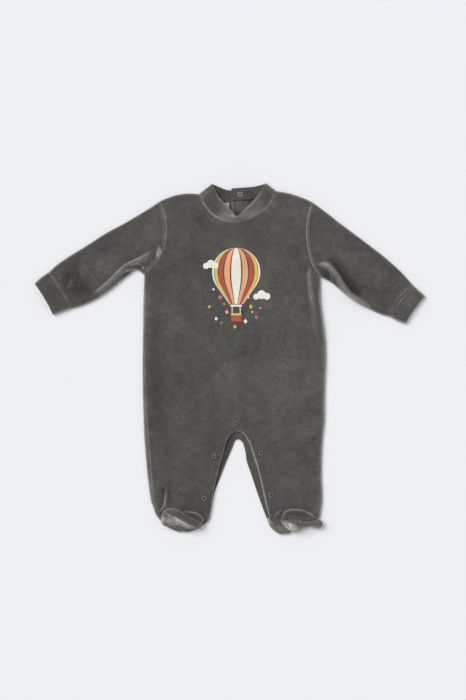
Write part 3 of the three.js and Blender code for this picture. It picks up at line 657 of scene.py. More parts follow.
ROLL_SHARES = (0, 0.012, 0.045, 0.1, 0.19, 0.31, 0.47, 0.68, 1)
SLEEVE_ENDS = np.array([0, 0.01, 0.022, 0.036, 0.052, 0.075])   # rings close to a seam, in rows
SEAM_REACH = 2.5           # rows over which a sleeve takes on the shape of a seam
CUFF_SEAM_RINGS = [0, 0.02, 0.045, 0.075, 0.11]
CUFF_BODY_FROM = 0.16
CUFF_BODY_RINGS = 18
HEEL_BODY_TO = 4.5
HEEL_BODY_RINGS = 24
HEEL_END_RINGS = np.array([0.45, 0.4, 0.35, 0.3, 0.25, 0.2, 0.15, 0.1, 0.06, 0.03, 0.01, 0])


def tube_columns(length, step, radius):
    """Shares of a width, close together where the cloth rolls over at both sides."""
    near = np.array(ROLL_SHARES) * radius / length
    count = max(4, round(length / step))
    middle = np.linspace(near[-1], 1 - near[-1], count)[1:-1]
    return np.concatenate([near, middle, 1 - near[::-1]])


def flat_tube(ring_at, places, step, radius, seams, closed_end=False):
    """A flattened tube as rings, over the top from one silhouette to the other and back
    underneath. ring_at(place, share) gives points across one ring. Seams are the rings, first or
    last, that are sewn to the next piece, each with how far it rolls down and its share of a
    raised allowance."""
    middle = places[len(places) // 2]
    width = distance(ring_at(middle, np.array([0.0])), ring_at(middle, np.array([1.0])))[0]

    def half_tube(side, spacing):
        shares = tube_columns(width, spacing, radius)
        xy = np.array([ring_at(place, shares) for place in places])
        inset = np.minimum(distance(xy, xy[:, :1]), distance(xy, xy[:, -1:]))
        if closed_end:
            inset = np.minimum(inset, distance(xy, xy[-1:]))
        more = sum(dip * seam_profile(distance(xy, xy[end:][:1]), band)
                   for end, dip, band in seams)
        return layer(xy, roll_lift(inset, radius), side, radius, more)

    under = half_tube(-1, UNDER_STEP)
    return np.concatenate([half_tube(1, step), under[:, -2:0:-1]], axis=1)


def toward_shoulder(upper, lower, turn):
    along = unit(lower - upper)
    return np.array([along[1] * turn, -along[0] * turn])


def gap_left(place):
    """How far a row is moved from its seam: less and less over the first half section."""
    return SEAM_GAP * max(0, 1 - 2 * place)


def make_sleeve_grid(rows, body_half, turn):
    upper, lower = curve(rows, "upper_x upper_y"), curve(rows, "lower_x lower_y")
    armhole = curve(body_half, "outer_x outer_y", [UNDERARM])
    last = len(rows["upper_x"]) - 1

    def bare(s, v):
        v = np.asarray(v, float)
        near_body = np.clip(1 - s / SEAM_REACH, 0, 1) ** 2
        near_cuff = np.clip((s - last + SEAM_REACH) / SEAM_REACH, 0, 1) ** 2
        line = lerp(armhole(0.0), armhole(float(UNDERARM)), v[:, None])
        bow = (4 * CUFF_SEAM_BOW * v * (1 - v) * near_cuff)[:, None]
        xy = lerp(upper(s), lower(s), v[:, None])
        xy = xy + (armhole(v * UNDERARM) - line) * near_body
        return xy + toward_shoulder(upper(s), lower(s), turn) * bow

    def ring_at(s, v):
        xy = bare(s, v)
        way = unit(bare(s, np.minimum(v + 0.01, 1)) - bare(s, np.maximum(v - 0.01, 0)))
        return xy + np.stack([-way[:, 1], way[:, 0]], axis=-1) * turn * gap_left(s)

    first, end = SLEEVE_ENDS, last - SLEEVE_ENDS[::-1] * 2
    rest = np.linspace(first[-1], end[0], round(SLEEVE_LENGTH / SLEEVE_STEP))[1:-1]
    places = np.concatenate([first, rest, end])
    return flat_tube(ring_at, places, SLEEVE_STEP, ROLL, seams=((0, 1, 1), (-1, CUFF_DIP, 0)))


def make_cuff_grid(rows, turn):
    upper, lower = curve(rows, "upper_x upper_y"), curve(rows, "lower_x lower_y")
    last = len(rows["upper_x"]) - 1

    def ring_at(s, v):
        v = np.asarray(v, float)
        depth = lerp(CUFF_SEAM_BOW, CUFF_END_BOW, s / last)
        bow = 4 * depth * v * (1 - v) - gap_left(s)
        way = toward_shoulder(upper(s), lower(s), turn)
        return lerp(upper(s), lower(s), v[:, None]) + way * bow[:, None]

    rest = np.linspace(CUFF_BODY_FROM, last, CUFF_BODY_RINGS)
    places = np.concatenate([CUFF_SEAM_RINGS, rest])
    return flat_tube(ring_at, places, SLEEVE_STEP, CUFF_ROLL, seams=((0, CUFF_DIP, 0),))


HEEL_GAP_SHARE = 0.25      # the ankle seam is hidden in the pile


def make_heel_grid(rows):
    left, right = curve(rows, "upper_x upper_y"), curve(rows, "lower_x lower_y")
    last = len(rows["upper_x"]) - 1

    def ring_at(s, v):
        v = np.asarray(v, float)
        xy = lerp(left(s), right(s), v[:, None])
        return xy - np.array([0, HEEL_GAP_SHARE * gap_left(s)])

    body = np.linspace(0, HEEL_BODY_TO, HEEL_BODY_RINGS)
    places = np.concatenate([body, last - HEEL_END_RINGS])
    return flat_tube(ring_at, places, SLEEVE_STEP, ROLL, seams=(), closed_end=True)


# Neck band

BAND_BACK_ROWS = 30
BAND_FRONT_ROWS = 70
BAND_SEAM_SHARE = 0.8      # how deep its seam is, against other seams
BAND_TURN = 75             # degrees to each side of the middle of its fold at a side of the neck
BAND_TURN_ROWS = 11
BAND_STEPS = np.array([0, 0.03, 0.07, 0.13, 0.2, 0.3, 0.4, 0.5, 0.6, 0.7, 0.8, 0.88, 0.94, 0.98, 1])


def band_rows(sections, density, front):
    at = curve(sections, BAND)
    places = np.linspace(0, len(sections["stand"]) - 1, density)
    s = at(places)[:, None, :]
    v = BAND_STEPS
    x, y = lerp(s[..., 0], s[..., 2], v), lerp(s[..., 1], s[..., 3], v)
    z = s[..., 4] + s[..., 5] * np.sin(v * math.pi / 2)
    width = distance(s[..., 0:2], s[..., 2:4])
    if front:
        z = z + seam_profile(v * width) * BAND_SEAM_SHARE
    return np.stack([x, y, z], axis=-1)


def band_fold(seam, edge, rising):
    seam, edge = np.array(seam), np.array(edge)
    way = unit(edge - seam)
    side = np.array([-way[1], way[0]]) * (1 if seam[0] < 0 else -1)
    angles = np.radians(np.linspace(-BAND_TURN, BAND_TURN, BAND_TURN_ROWS))[:, None]
    angles = angles if rising else -angles
    xy = lerp(seam, edge, BAND_STEPS[:, None])[None]
    xy = xy - side * (BAND_ROLL * (1 - np.cos(angles)))[..., None]
    z = np.broadcast_to(BAND_ROLL * (1 + np.sin(angles)), xy.shape[:2])
    return np.concatenate([xy, z[..., None]], axis=-1)


def make_band_grid():
    return np.concatenate([
        band_rows(BACK_LEFT_BAND, BAND_BACK_ROWS, False),
        band_fold(**BAND_FOLDS["left"], rising=True),
        band_rows(FRONT_BAND, BAND_FRONT_ROWS, True),
        band_fold(**BAND_FOLDS["right"], rising=False),
        band_rows(BACK_RIGHT_BAND, BAND_BACK_ROWS, False),
    ])


# Feet, placket and label

CREASE_RISE = 0.5
CREASE_WIDTH = 1.8
CREASE_FROM = 8            # the crease is full where the leaf is this wide
LEAF_ROLL = 0.9
CREST_POWER = 1.8
LEAF_REST = 1.4            # how high the cloth swells under a turned-up foot
LEAF_WALL = 1.0            # thinner than other cloth, for its sharp turns
LEAF_BULGE = 0.25
LEAF_CONTRAST = 0.35       # how much of the painted light and shade its slopes get, against other cloth
LEAF_ROWS = 90
LEAF_COLUMNS = 18          # on each side of the crest
STRIP_ROWS = 40
STRIP_COLUMNS = 16
STRIP_BOW = 0.5
LABEL_BULGE = 0.3


def make_leaf_grid(rows):
    near, far = curve(rows, "near_x near_y near_z"), curve(rows, "far_x far_y far_z")
    s = np.linspace(0, len(rows["near_x"]) - 1, LEAF_ROWS)
    top, place = np.split(curve(rows, "crest_z crest_at")(s), 2, axis=1)
    share = (1 - np.cos(np.linspace(0, math.pi, LEAF_COLUMNS + 1))) / 2
    v = np.concatenate([place * share, lerp(place, 1, share[1:])], axis=1)
    edges = lerp(near(s)[:, None], far(s)[:, None], v[..., None])
    x, y, edge_z = edges[..., 0], edges[..., 1], edges[..., 2]
    from_crest = np.where(v < place, (place - v) / place, (v - place) / (1 - place))
    swell = (top - lerp(near(s)[:, 2:], far(s)[:, 2:], place)) * (1 - from_crest ** CREST_POWER)
    across = distance(near(s)[:, :2], far(s)[:, :2])[:, None]
    crease = CREASE_RISE * bell((v - place) * across / CREASE_WIDTH) * np.clip(across / CREASE_FROM, 0, 1)
    inset = np.minimum(v, 1 - v) * across
    rolled = LEAF_ROLL * (1 - roll_lift(inset, LEAF_ROLL))
    z = TOP + LEAF_REST + REST_GAP + WALL + edge_z + swell + crease - rolled
    return np.stack([x, y, z], axis=-1)


def make_strip_grid(left, right, top, bottom, z):
    x, y = np.meshgrid(
        np.linspace(left, right, STRIP_COLUMNS), np.linspace(top, bottom, STRIP_ROWS))
    bow = STRIP_BOW * bell((x - (left + right) / 2) / (right - left) * 2)
    return np.stack([x, y + bow, np.full(x.shape, z)], axis=-1)


# Pieces

def add_piece(name, points, faces, material, replaces=()):
    mesh = bpy.data.meshes.new(name)
    mesh.from_pydata((np.asarray(points) * MM).tolist(), [], faces)
    mesh.polygons.foreach_set("use_smooth", [True] * len(mesh.polygons))
    mesh.materials.append(material)
    mesh.update()
    piece = bpy.data.objects.new(name, mesh)
    bpy.context.scene.collection.objects.link(piece)
    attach(piece, "root")
    if replaces:
        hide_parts(*replaces)
    return piece


def painted_light_and_nap_at(points):
    """Painted light and shade at each point, with patches where the nap lies another way, 1 where neither
    changes it.
    """
    x, y = points[:, 0], points[:, 1]
    light = np.ones(len(points))
    for middle_x, middle_y, wide, long, turn, amount in PAINTED_LIGHT_AND_NAP_PATCHES:
        angle = math.radians(turn)
        dx, dy = x - middle_x, y - middle_y
        across = (dx * math.cos(angle) + dy * math.sin(angle)) / wide
        along = (dy * math.cos(angle) - dx * math.sin(angle)) / long
        light *= 1 + amount * bell(np.hypot(across, along))
    # painted highlights and painted shade along paths
    for path, amount, right, left in PAINTED_LIGHT_BANDS:
        path = rounded(path)
        away, side, to_end = near_path(path, x, y)
        ends = fade(path, to_end, PAINTED_BAND_END)
        t = np.clip(away / np.where(side > 0, left, right), 0, 1)
        light *= 1 + amount * ends * (1 - t * t) ** 2
    return np.where(points[:, 2] > WALL - 0.2, light, 1)


def add_cloth(name, node, grids, thickness, turned, material, bulge=SEAM_BULGE, slot="velour",
              contrast=1.0):
    points, faces, light = wall(grids, thickness, bulge, turned, contrast)
    piece = add_piece(name, points, faces, material, [node])
    painted_light_and_nap = piece.data.attributes.new("painted_light_and_nap", "FLOAT", "POINT")
    # painted light and shade, and the nap patches, stored for the shader
    painted_light_and_nap.data.foreach_set("value", light * painted_light_and_nap_at(points))
    return piece


RING_RADIUS = 2.9
RING_WIRE = 0.65
RING_SIDES = 12
RING_TURNS = 40


def ring_profile():
    """Section of a ring snap: a rounded wire."""
    wire = []
    for k in range(RING_SIDES):
        angle = 2 * math.pi * k / RING_SIDES
        radius = RING_RADIUS + RING_WIRE * math.cos(angle)
        wire.append((radius, RING_WIRE * math.sin(angle)))
    return wire


def ring_mesh(x, y, z):
    points, faces = [], []
    profile = ring_profile()
    for i in range(RING_TURNS):
        turn = 2 * math.pi * i / RING_TURNS
        for k, (radius, height) in enumerate(profile):
            points.append((x + radius * math.cos(turn), y + radius * math.sin(turn), z + height))
            here, there = i * RING_SIDES, (i + 1) % RING_TURNS * RING_SIDES
            after = (k + 1) % RING_SIDES
            faces.append([here + k, there + k, there + after, here + after])
    return points, faces


SNAPS = [
    ("snap_1", 9, -97),
    ("snap_2", -23, -146),
    ("snap_3", 47, -141.5),
    ("snap_4", -37.5, -209),
    ("snap_5", 62, -204.5),
]
NECK_SNAP = ("snap_6", 16, 246)


def height_at(x, y):
    return TOP + float(relief(np.array([float(x)]), np.array([float(y)]))[0])


def add_snaps(nickel, bright):
    pieces = {}
    for name, x, y in SNAPS + [NECK_SNAP]:
        at_neck = name == NECK_SNAP[0]
        under = UNDER_LAP + BAND_WALL if at_neck else height_at(x, y)
        points, faces = ring_mesh(x, y, under + REST_GAP + RING_WIRE)
        ring = add_piece(name.replace("snap", "snap_ring"), points, faces,
                         bright if at_neck else nickel, [name])
        pieces[name] = ring
    return pieces


STITCH_LENGTH = 2.3
STITCH_STEP = 3.2
STITCH_RADIUS = 0.32
STITCH_RINGS = 7
STITCH_SIDES = 8
NECK_STITCHES = [(-20, 211.4), (-12, 208), (-4, 206), (11, 205.3), (22, 206.6), (32, 210.2)]


def stitch_mesh(x, y, z, dx, dy, first):
    """A small bar with round ends that runs the way of dx and dy. Its points are counted from
    first."""
    points, faces = [], []
    for t in np.linspace(-1, 1, STITCH_RINGS):
        radius = STITCH_RADIUS * math.sqrt(1.001 - t ** 4)
        along = t * STITCH_LENGTH / 2
        for k in range(STITCH_SIDES):
            angle = 2 * math.pi * k / STITCH_SIDES
            across = radius * math.cos(angle)
            points.append((x + dx * along - dy * across, y + dy * along + dx * across,
                           z + radius * math.sin(angle)))
    for i in range(STITCH_RINGS - 1):
        for k in range(STITCH_SIDES):
            here, there = first + i * STITCH_SIDES, first + (i + 1) * STITCH_SIDES
            after = (k + 1) % STITCH_SIDES
            faces.append([here + k, here + after, there + after, there + k])
    last = first + (STITCH_RINGS - 1) * STITCH_SIDES
    faces.append([first + k for k in reversed(range(STITCH_SIDES))])
    faces.append([last + k for k in range(STITCH_SIDES)])
    return points, faces


def add_stitches(material):
    """Stitches along the seam of the neck band."""
    line = rounded(NECK_STITCHES)
    starts = np.concatenate([[0], np.cumsum(distance(line[1:], line[:-1]))])
    points, faces = [], []
    for middle in np.arange(STITCH_STEP, starts[-1] - STITCH_STEP, STITCH_STEP):
        x, y = (float(np.interp(middle, starts, line[:, k])) for k in (0, 1))
        ahead = np.array([np.interp(middle + 0.1, starts, line[:, k]) for k in (0, 1)])
        dx, dy = unit(ahead - (x, y))
        z = height_at(x, y) + REST_GAP
        bar, sides = stitch_mesh(x, y, z, dx, dy, len(points))
        points += bar
        faces += sides
    return add_piece("neck_stitches", points, faces, material)


# Materials

def linear(red, green, blue):
    """A colour as Blender's shaders take it, from its usual 0 to 255 values."""
    def channel(value):
        value /= 255
        return value / 12.92 if value <= 0.04045 else ((value + 0.055) / 1.055) ** 2.4
    return (channel(red), channel(green), channel(blue), 1)


class Term:
    """An output of a shader node, so that a formula of them reads as one line."""

    def __init__(self, tree, socket):
        self.tree = tree
        self.socket = socket

    def of(self, operation, *others):
        node = self.tree.nodes.new("ShaderNodeMath")
        node.operation = operation
        for place, value in zip(node.inputs, (self, *others)):
            if isinstance(value, Term):
                self.tree.links.new(value.socket, place)
            else:
                place.default_value = value
        return Term(self.tree, node.outputs[0])

    def __add__(self, other):
        return self.of("ADD", other)

    def __sub__(self, other):
        return self.of("SUBTRACT", other)

    def __mul__(self, other):
        return self.of("MULTIPLY", other)

    def __truediv__(self, other):
        return self.of("DIVIDE", other)

    def __abs__(self):
        return self.of("ABSOLUTE")

    def below(self, other):
        return self.of("LESS_THAN", other)

    def above(self, other):
        return self.of("GREATER_THAN", other)

    def least(self, other):
        return self.of("MINIMUM", other)

    def most(self, other):
        return self.of("MAXIMUM", other)

    def hypot(self, other):
        return (self * self + other * other).of("SQRT")


def new_material(name):
    material = bpy.data.materials.new(name)
    material.use_nodes = True
    tree = material.node_tree
    return material, tree, tree.nodes["Principled BSDF"]


def object_place(tree):
    return tree.nodes.new("ShaderNodeTexCoord").outputs["Object"]


def noise_term(tree, scale, detail=2.0):
    node = tree.nodes.new("ShaderNodeTexNoise")
    node.inputs["Scale"].default_value = scale
    node.inputs["Detail"].default_value = detail
    tree.links.new(object_place(tree), node.inputs["Vector"])
    return Term(tree, node.outputs["Fac"])


def mixed(tree, share, first, second):
    """A colour mixed from two others, each a colour or a socket."""
    node = tree.nodes.new("ShaderNodeMix")
    node.data_type = "RGBA"
    tree.links.new(share.socket, node.inputs["Factor"])
    for name, colour in (("A", first), ("B", second)):
        if isinstance(colour, tuple):
            node.inputs[name].default_value = colour
        else:
            tree.links.new(colour, node.inputs[name])
    return node.outputs["Result"]


def scaled(tree, colour, factor):
    """A colour, or the colour of a socket, made lighter or darker."""
    node = tree.nodes.new("ShaderNodeVectorMath")
    node.operation = "SCALE"
    if isinstance(colour, tuple):
        node.inputs[0].default_value = colour[:3]
    else:
        tree.links.new(colour, node.inputs[0])
    tree.links.new(factor.socket, node.inputs["Scale"])
    return node.outputs[0]


VELOUR_GREY = linear(79, 80, 80)
VELOUR_WARM = linear(85, 82, 76)
VELOUR_FINISH = {
    "Roughness": 0.95,
    "Specular IOR Level": 0.2,
    "Sheen Weight": 1.0,
    "Sheen Roughness": 0.3,
    "Sheen Tint": linear(235, 233, 226),
}
MOTTLING = {
    # scale of the noise, how much it changes the shade, and the shade where it is 0
    "clouds": (11, 0.6, 0.7),
    "patches": (34, 0.5, 0.75),
    "blotches": (120, 0.6, 0.7),
    "pile": (600, 1.1, 0.45),
}
PILE_BUMP = {"Strength": 0.35, "Distance": 0.6 * MM}


def velour(title, prints=None):
    """Short dense pile, with painted shade where it is seen straight on and a painted sheen where it
    turns away, and patches where the nap lies another way."""
    material, tree, shader = new_material(title)
    # per point painted light and shade, with the nap patches, scales the colour
    attribute = tree.nodes.new("ShaderNodeAttribute")
    attribute.attribute_name = "painted_light_and_nap"
    shade = Term(tree, attribute.outputs["Fac"])
    noises = {}
    for kind, (scale, amount, least) in MOTTLING.items():
        noises[kind] = noise_term(tree, scale)
        shade = shade * (noises[kind] * amount + least)
    colour = mixed(tree, noises["patches"], VELOUR_GREY, VELOUR_WARM)
    colour = scaled(tree, colour, shade)
    if prints:
        colour = prints(tree, colour, noises["pile"])
    tree.links.new(colour, shader.inputs["Base Color"])
    bump = tree.nodes.new("ShaderNodeBump")
    tree.links.new(noises["pile"].socket, bump.inputs["Height"])
    tree.links.new(bump.outputs[0], shader.inputs["Normal"])
    for node, values in ((bump, PILE_BUMP), (shader, VELOUR_FINISH)):
        for name, value in values.items():
            node.inputs[name].default_value = value
    return material


def plain(name, colour, roughness, metallic=0.0):
    material, tree, shader = new_material(name)
    grain = noise_term(tree, 900)
    tree.links.new(scaled(tree, colour, grain * 0.2 + 0.9), shader.inputs["Base Color"])
    shader.inputs["Roughness"].default_value = roughness
    shader.inputs["Metallic"].default_value = metallic
    return material


# The print: a striped hot-air balloon with two clouds and loose diamonds and dots

CREAM = linear(243, 238, 226)
RUST = linear(186, 92, 70)
ORANGE = linear(238, 174, 128)
YELLOW = linear(230, 192, 96)
LILAC = linear(226, 228, 238)
PINK = linear(204, 122, 132)
BALLOON = {"x": 10, "y": 130, "radius": 36, "waist": -20, "slope": 0.7, "skirt": -48}
# half width, bottom and top of what hangs below the balloon, from its middle
SKIRT = (8.5, -52, -49)
BASKET = (7.5, -74, -62)
BASKET_RIM = -65
ROPES = {"away": 6, "half": 0.6, "bottom": -62, "top": -52}
DIAMOND_WIDTH = 1.2        # how much narrower than high a diamond is
GORES = [
    # from, to: shares of the half width, turned to the angle round the balloon
    (0, 0.13, CREAM), (0.17, 0.33, ORANGE), (0.37, 0.52, RUST), (0.56, 0.72, YELLOW),
    (0.76, 1, CREAM),
]
CLOUDS = [
    # x, y, radius
    (-28, 142, 6), (-35, 139, 4.5), (-21, 139.5, 4.5),
    (48, 96, 6.5), (40, 93, 4.5), (56, 93.5, 5),
]
DIAMONDS = [
    # x, y, half height, colour
    (-14, 92, 4, PINK), (32, 78, 3.4, YELLOW), (-4, 70, 3.4, ORANGE), (24, 56, 3.6, CREAM),
    (-20, 60, 3, CREAM), (40, 62, 3, PINK), (8, 48, 3.2, YELLOW), (-30, 78, 2.6, YELLOW),
]
DOTS = [
    # x, y, radius, colour
    (-24, 104, 1.6, CREAM), (28, 92, 1.5, CREAM), (-8, 82, 1.4, YELLOW), (34, 70, 1.3, CREAM),
    (-12, 54, 1.5, PINK), (46, 76, 1.4, ORANGE),
]


def balloon_print(tree, cloth, pile):
    split = tree.nodes.new("ShaderNodeSeparateXYZ")
    tree.links.new(object_place(tree), split.inputs[0])
    x = Term(tree, split.outputs["X"]) / MM
    y = Term(tree, split.outputs["Y"]) / MM
    colour = cloth

    def put(mask, ink):
        nonlocal colour
        colour = mixed(tree, mask * (pile * 0.16 + 0.88), colour, ink)

    u, v = x - BALLOON["x"], y - BALLOON["y"]
    radius, waist, slope = BALLOON["radius"], BALLOON["waist"], BALLOON["slope"]
    at_waist = math.sqrt(radius ** 2 - waist ** 2)
    round_half = (v * v * -1 + radius ** 2).most(0.01).of("SQRT")
    taper_half = (v - waist) * slope + at_waist
    upper = v.above(waist)
    half = round_half * upper + taper_half * (upper * -1 + 1)
    share = (abs(u) / half).least(1).of("ARCSINE") / (math.pi / 2)
    inside = abs(u).below(half) * v.above(BALLOON["skirt"]) * v.below(radius)
    for low, high, ink in GORES:
        put(inside * share.above(low - 0.001) * share.below(high), ink)

    def box(half_width, bottom, top):
        return abs(u).below(half_width) * v.above(bottom) * v.below(top)

    put(box(*SKIRT), CREAM)
    ropes = abs(abs(u) - ROPES["away"]).below(ROPES["half"])
    put(ropes * v.above(ROPES["bottom"]) * v.below(ROPES["top"]), CREAM)
    basket = box(*BASKET)
    put(basket, RUST)
    put(basket * v.above(BASKET_RIM), YELLOW)
    for cx, cy, size in CLOUDS:
        put((x - cx).hypot(y - cy).below(size), CREAM)
    for cx, cy, size, ink in DIAMONDS:
        put((abs(x - cx) * DIAMOND_WIDTH + abs(y - cy)).below(size), ink)
    for cx, cy, size, ink in DOTS:
        put((x - cx).hypot(y - cy).below(size), ink)
    return colour


# The garment

# Painted light and shade, and patches where the nap lies lighter or darker: round patches, and bands
# beside a path
PAINTED_LIGHT_AND_NAP_PATCHES = [
    # x, y, half width, half length, turn in degrees, how much lighter
    # painted light and shade on the soles and the right heel
    (-86, -243, 13, 6, -14, 2.4),
    (-66, -247, 10, 4, -24, 1.0),
    (95, -253.5, 8, 4.5, -14, 1.6),
    (88, -247, 8, 4, -20, 0.9),
    (-100, -240, 3, 8, 0, 0.9),
    (112, -246.5, 14, 2.2, 0, -0.25),
    (131, -251.5, 9, 2.5, 0, 0.35),
    (124, -245.5, 14, 3.5, 0, 0.2),
    (75, -256, 15, 8, 0, 0.8),
    (-71, -256.5, 24, 5, 0, 0.5),
    # painted shade inside the turned-up feet, and painted light and shade at the left ankle's side
    (-55, -236.5, 9, 3.5, -25, -0.35),
    (99, -232.5, 20, 5, -8, -0.22),
    (-108, -236.5, 4, 4, 0, 0.5),
    (-103.2, -233, 2, 5, 0, -0.45),
    # painted light and shade on the steep middle of the neck band
    (8, 215, 14, 5, 0, -0.15),
    (-30, 222, 9, 12, 40, -0.15),
    (31, 248, 10, 5, 0, -0.2),
    (-18, 249, 10, 6, 0, -0.15),
    (-31, 236, 8, 8, 40, -0.1),
    (-18, 222, 9, 6, -40, -0.4),
    (2, 212, 9, 4, -20, 0.2),
    (48, 230, 14, 12, -40, 0.3),
    # the lapped back edge in the neck opening
    (16, 228, 14, 10, 0, 0.35),
    # the right cuff
    (270, 81, 14, 24, -30, 0.16),
    # painted shade in the hollows at the armpits, and a painted highlight on the bump beside the left one
    (147, 124, 12, 4.5, -37, -0.5),
    (-154, 126, 7, 4, 42, -0.5),
    (-139, 138, 6, 3, -10, -0.4),
    (-107, 160, 4, 10, 0, 0.4),
    # the middle of the body
    (-8, -20, 12, 70, 0, 0.16),
    (-109, -25, 11, 80, 0, -0.3),
    (-40, -60, 7, 60, 4, 0.06),
    (-70, 40, 8, 50, -4, -0.06),
    (20, 40, 8, 60, 3, -0.05),
    (96, -20, 8, 70, -3, 0.06),
    (-62, 176, 9, 30, -15, 0.05),
    (70, -100, 12, 34, 10, 0.08),
    (112, -160, 9, 40, 0, -0.07),
    (-94, -160, 8, 40, 0, -0.12),
    (-48, -165, 11, 40, 8, 0.16),
    (30, -30, 25, 70, 0, -0.08),
    # upper edge and cuff end of the left sleeve
    (-200, 160, 60, 12, 30, -0.2),
    (-240, 122, 15, 20, -20, -0.45),
    (-222, 104, 18, 12, 30, -0.35),
    (-119, 190, 15, 26, 0, 0.18),
    (-268, 100, 9, 10, 0, -0.08),
    (246, 92, 16, 10, -60, -0.1),
    (210, 110, 24, 12, -35, -0.1),
    # the right half is a little lighter
    (75, 60, 60, 170, 0, 0.11),
]


def edge_path(rows, edge, first=0, last=None):
    """The inner or the outer edge of the rows of a table, as a path."""
    return list(zip(rows[edge + "_x"][first:last], rows[edge + "_y"][first:last]))


PAINTED_BAND_END = 14              # length over which a painted band fades at each end
ARMHOLE_LEFT = edge_path(FRONT_LEFT, "outer", last=UNDERARM + 1)
ARMHOLE_RIGHT = edge_path(FRONT_RIGHT, "outer", last=UNDERARM + 1)
PAINTED_LIGHT_BANDS = [
    # path, how much lighter, width on its right and on its left
    # painted highlight beside each armhole seam, and painted shade down in it
    (ARMHOLE_LEFT, 0.25, 7, 0.5),
    (ARMHOLE_RIGHT, 0.3, 0.5, 7),
    (ARMHOLE_LEFT, -0.25, 1.2, 1.2),
    (ARMHOLE_RIGHT, -0.3, 1.2, 1.2),
    # painted shade in the valleys beside the pipe and above the left sleeve's fold
    ([(198, 89), (187, 97), (181, 103), (176, 109), (172, 115), (167, 122.5), (163, 128.5),
      (158, 134), (151, 141.5), (141, 149)], -0.6, 22, 0.8),
    ([(-209, 95), (-187, 113.5), (-166, 134), (-145, 148.5), (-121, 160)], -0.1, 1, 14),
    # painted highlight on the crest of the fold down the right side
    ([(116.5, 142), (118.5, 134), (120.5, 120), (122.3, 103), (125, 84), (127.5, 66), (131, 45)],
     0.5, 1.2, 5),
    # painted highlight along the sides of the body
    ([(-128, 110), (-130, 20), (-129.5, -100), (-124, -185), (-112, -232)], 0.4, 0.5, 13),
    ([(138, 110), (144, 20), (142.5, -100), (138, -185), (137, -234)], 0.4, 10, 0.5),
    # below the neck band
    ([(-46, 243), (-31, 222), (-20, 212), (-5, 206.5), (11, 206), (29, 209.5), (46, 218),
      (58, 229), (69, 247)], 0.2, 14, 0.5),
    # inseams: painted highlight on the front's edge, and painted shade on the strip of the back that
    # shows beside it
    (edge_path(FRONT_RIGHT, "inner", CROTCH), 0.6, 2, 4),
    (edge_path(FRONT_LEFT, "inner", CROTCH), -0.4, 0.3, 14),
    # painted highlights beside the cuffs, and painted shade along the right cuff's seam
    ([(274, 110.5), (257, 89), (241, 62)], 0.5, 9, 0.5),
    ([(275.5, 110.5), (255, 88.5), (241, 62)], -0.7, 1.6, 1.6),
    ([(-272, 131), (-237, 75)], 0.3, 0.5, 4),
    # painted highlights on the crests of the soles
    ([(-100, -227), (-94, -231), (-89, -234), (-82, -237.4), (-74, -241), (-67, -245),
      (-59, -249.4), (-47, -252)], 1.1, 2.6, 2.6),
    ([(79, -241), (84, -244.5), (90, -246.5), (98, -248), (106, -247.5)], 0.8, 2.6, 2.6),
    # painted highlights on their edges, and on those of the vamps
    ([(-100.5, -237), (-99.5, -230), (-92, -224.5), (-80, -225.5), (-68.5, -231.5), (-56, -238.5),
      (-46, -243)], 0.9, 0.6, 1.8),
    ([(-68, -227.5), (-60, -228.8), (-50, -230.3), (-42, -236), (-39, -240), (-42, -245),
      (-48, -250)], 1.1, 2, 2),
    ([(78, -238), (83, -229), (92, -225.7), (106, -226.2), (119, -231), (132, -238.5)], 1.1, 2, 2),
    ([(106, -252), (119, -250.5), (130, -251.5), (137, -248)], 0.5, 1.6, 1.6),
    # painted highlight on the crest and lower side of the left sleeve's fold
    ([(-206, 95), *SLEEVE_CREST, (-113, 161)], 0.45, 13, 0.6),
    ([(-206, 95), *SLEEVE_CREST, (-113, 161)], 0.8, 1.6, 1.2),
    # painted highlights on the edge of the right sole beside the heel, and on the seam of that heel
    ([(77, -242), (82, -249.5), (90, -255.8), (98, -259)], 1.1, 0.6, 2),
    ([(79, -246), (72, -252), (66, -257)], 0.45, 1.3, 1.3),
    ([(56, -230), (58, -238), (62.5, -245), (69, -251)], 1.2, 1.5, 1.5),
    ([(85, -229), (79, -227.5), (74.5, -230.5), (69, -237)], 0.5, 1.6, 1.6),
    # painted highlights on the gathers at the left cuff
    ([(-235.5, 126), (-240, 114), (-246, 103)], 0.7, 2.2, 4.5),
    ([(-258, 125), (-253, 117.5), (-250, 116)], 0.35, 1.4, 2),
    ([(-255.5, 114.5), (-250, 110), (-246.5, 109)], 0.35, 1.4, 2),
    # painted highlight on the outer side of the pipe, and painted shade in the hollow under it
    ([(190, 88), (181, 93.5), (171, 106), (161, 123.5), (155.5, 131), (147, 140.5), (129, 142)],
     0.7, 1.8, 1.8),
    ([(176, 94), (166.5, 104), (157, 121), (151.5, 128.5), (143.5, 136.5)], -0.3, 2.4, 2.4),
    # painted highlights on the free edge and seam of the neck band, and on the lapped back edge below it
    ([(-24, 256), (-16, 241), (-7.5, 230.5), (1, 221), (10.8, 212)], 1.3, 1.8, 0.5),
    ([(10.8, 212), (22.5, 221.5), (33, 231.5), (42, 242), (51, 255)], 1.2, 1.8, 0.5),
    ([(-46, 247), (-40, 235.5), (-31, 221.8), (-20, 212.2), (-5, 206.8), (11, 206.2),
      (29, 209.7), (46, 218.3), (58, 229.3), (69, 251)], 0.15, 1.5, 1.5),
    ([(-30, 219), (-20, 212), (-5, 206.8), (11, 206.2), (29, 209.7), (46, 218.3)], 0.6, 1.4, 1.4),
    ([(4.6, 240), (4.6, 208)], 1.1, 1.8, 1.8),
    # painted shade beside the left ankle's crease, and a painted highlight along it
    ([(-112, -230), (-100, -222), (-98, -207), (-97, -185)], -0.3, 0.5, 12),
    ([(-110, -232.5), (-103.5, -228), (-97.5, -219), (-95.8, -207), (-95, -196)], 0.4, 2, 1.5),
    ([(-92, -222), (-91, -208), (-90.5, -190)], -0.3, 5, 5),
]


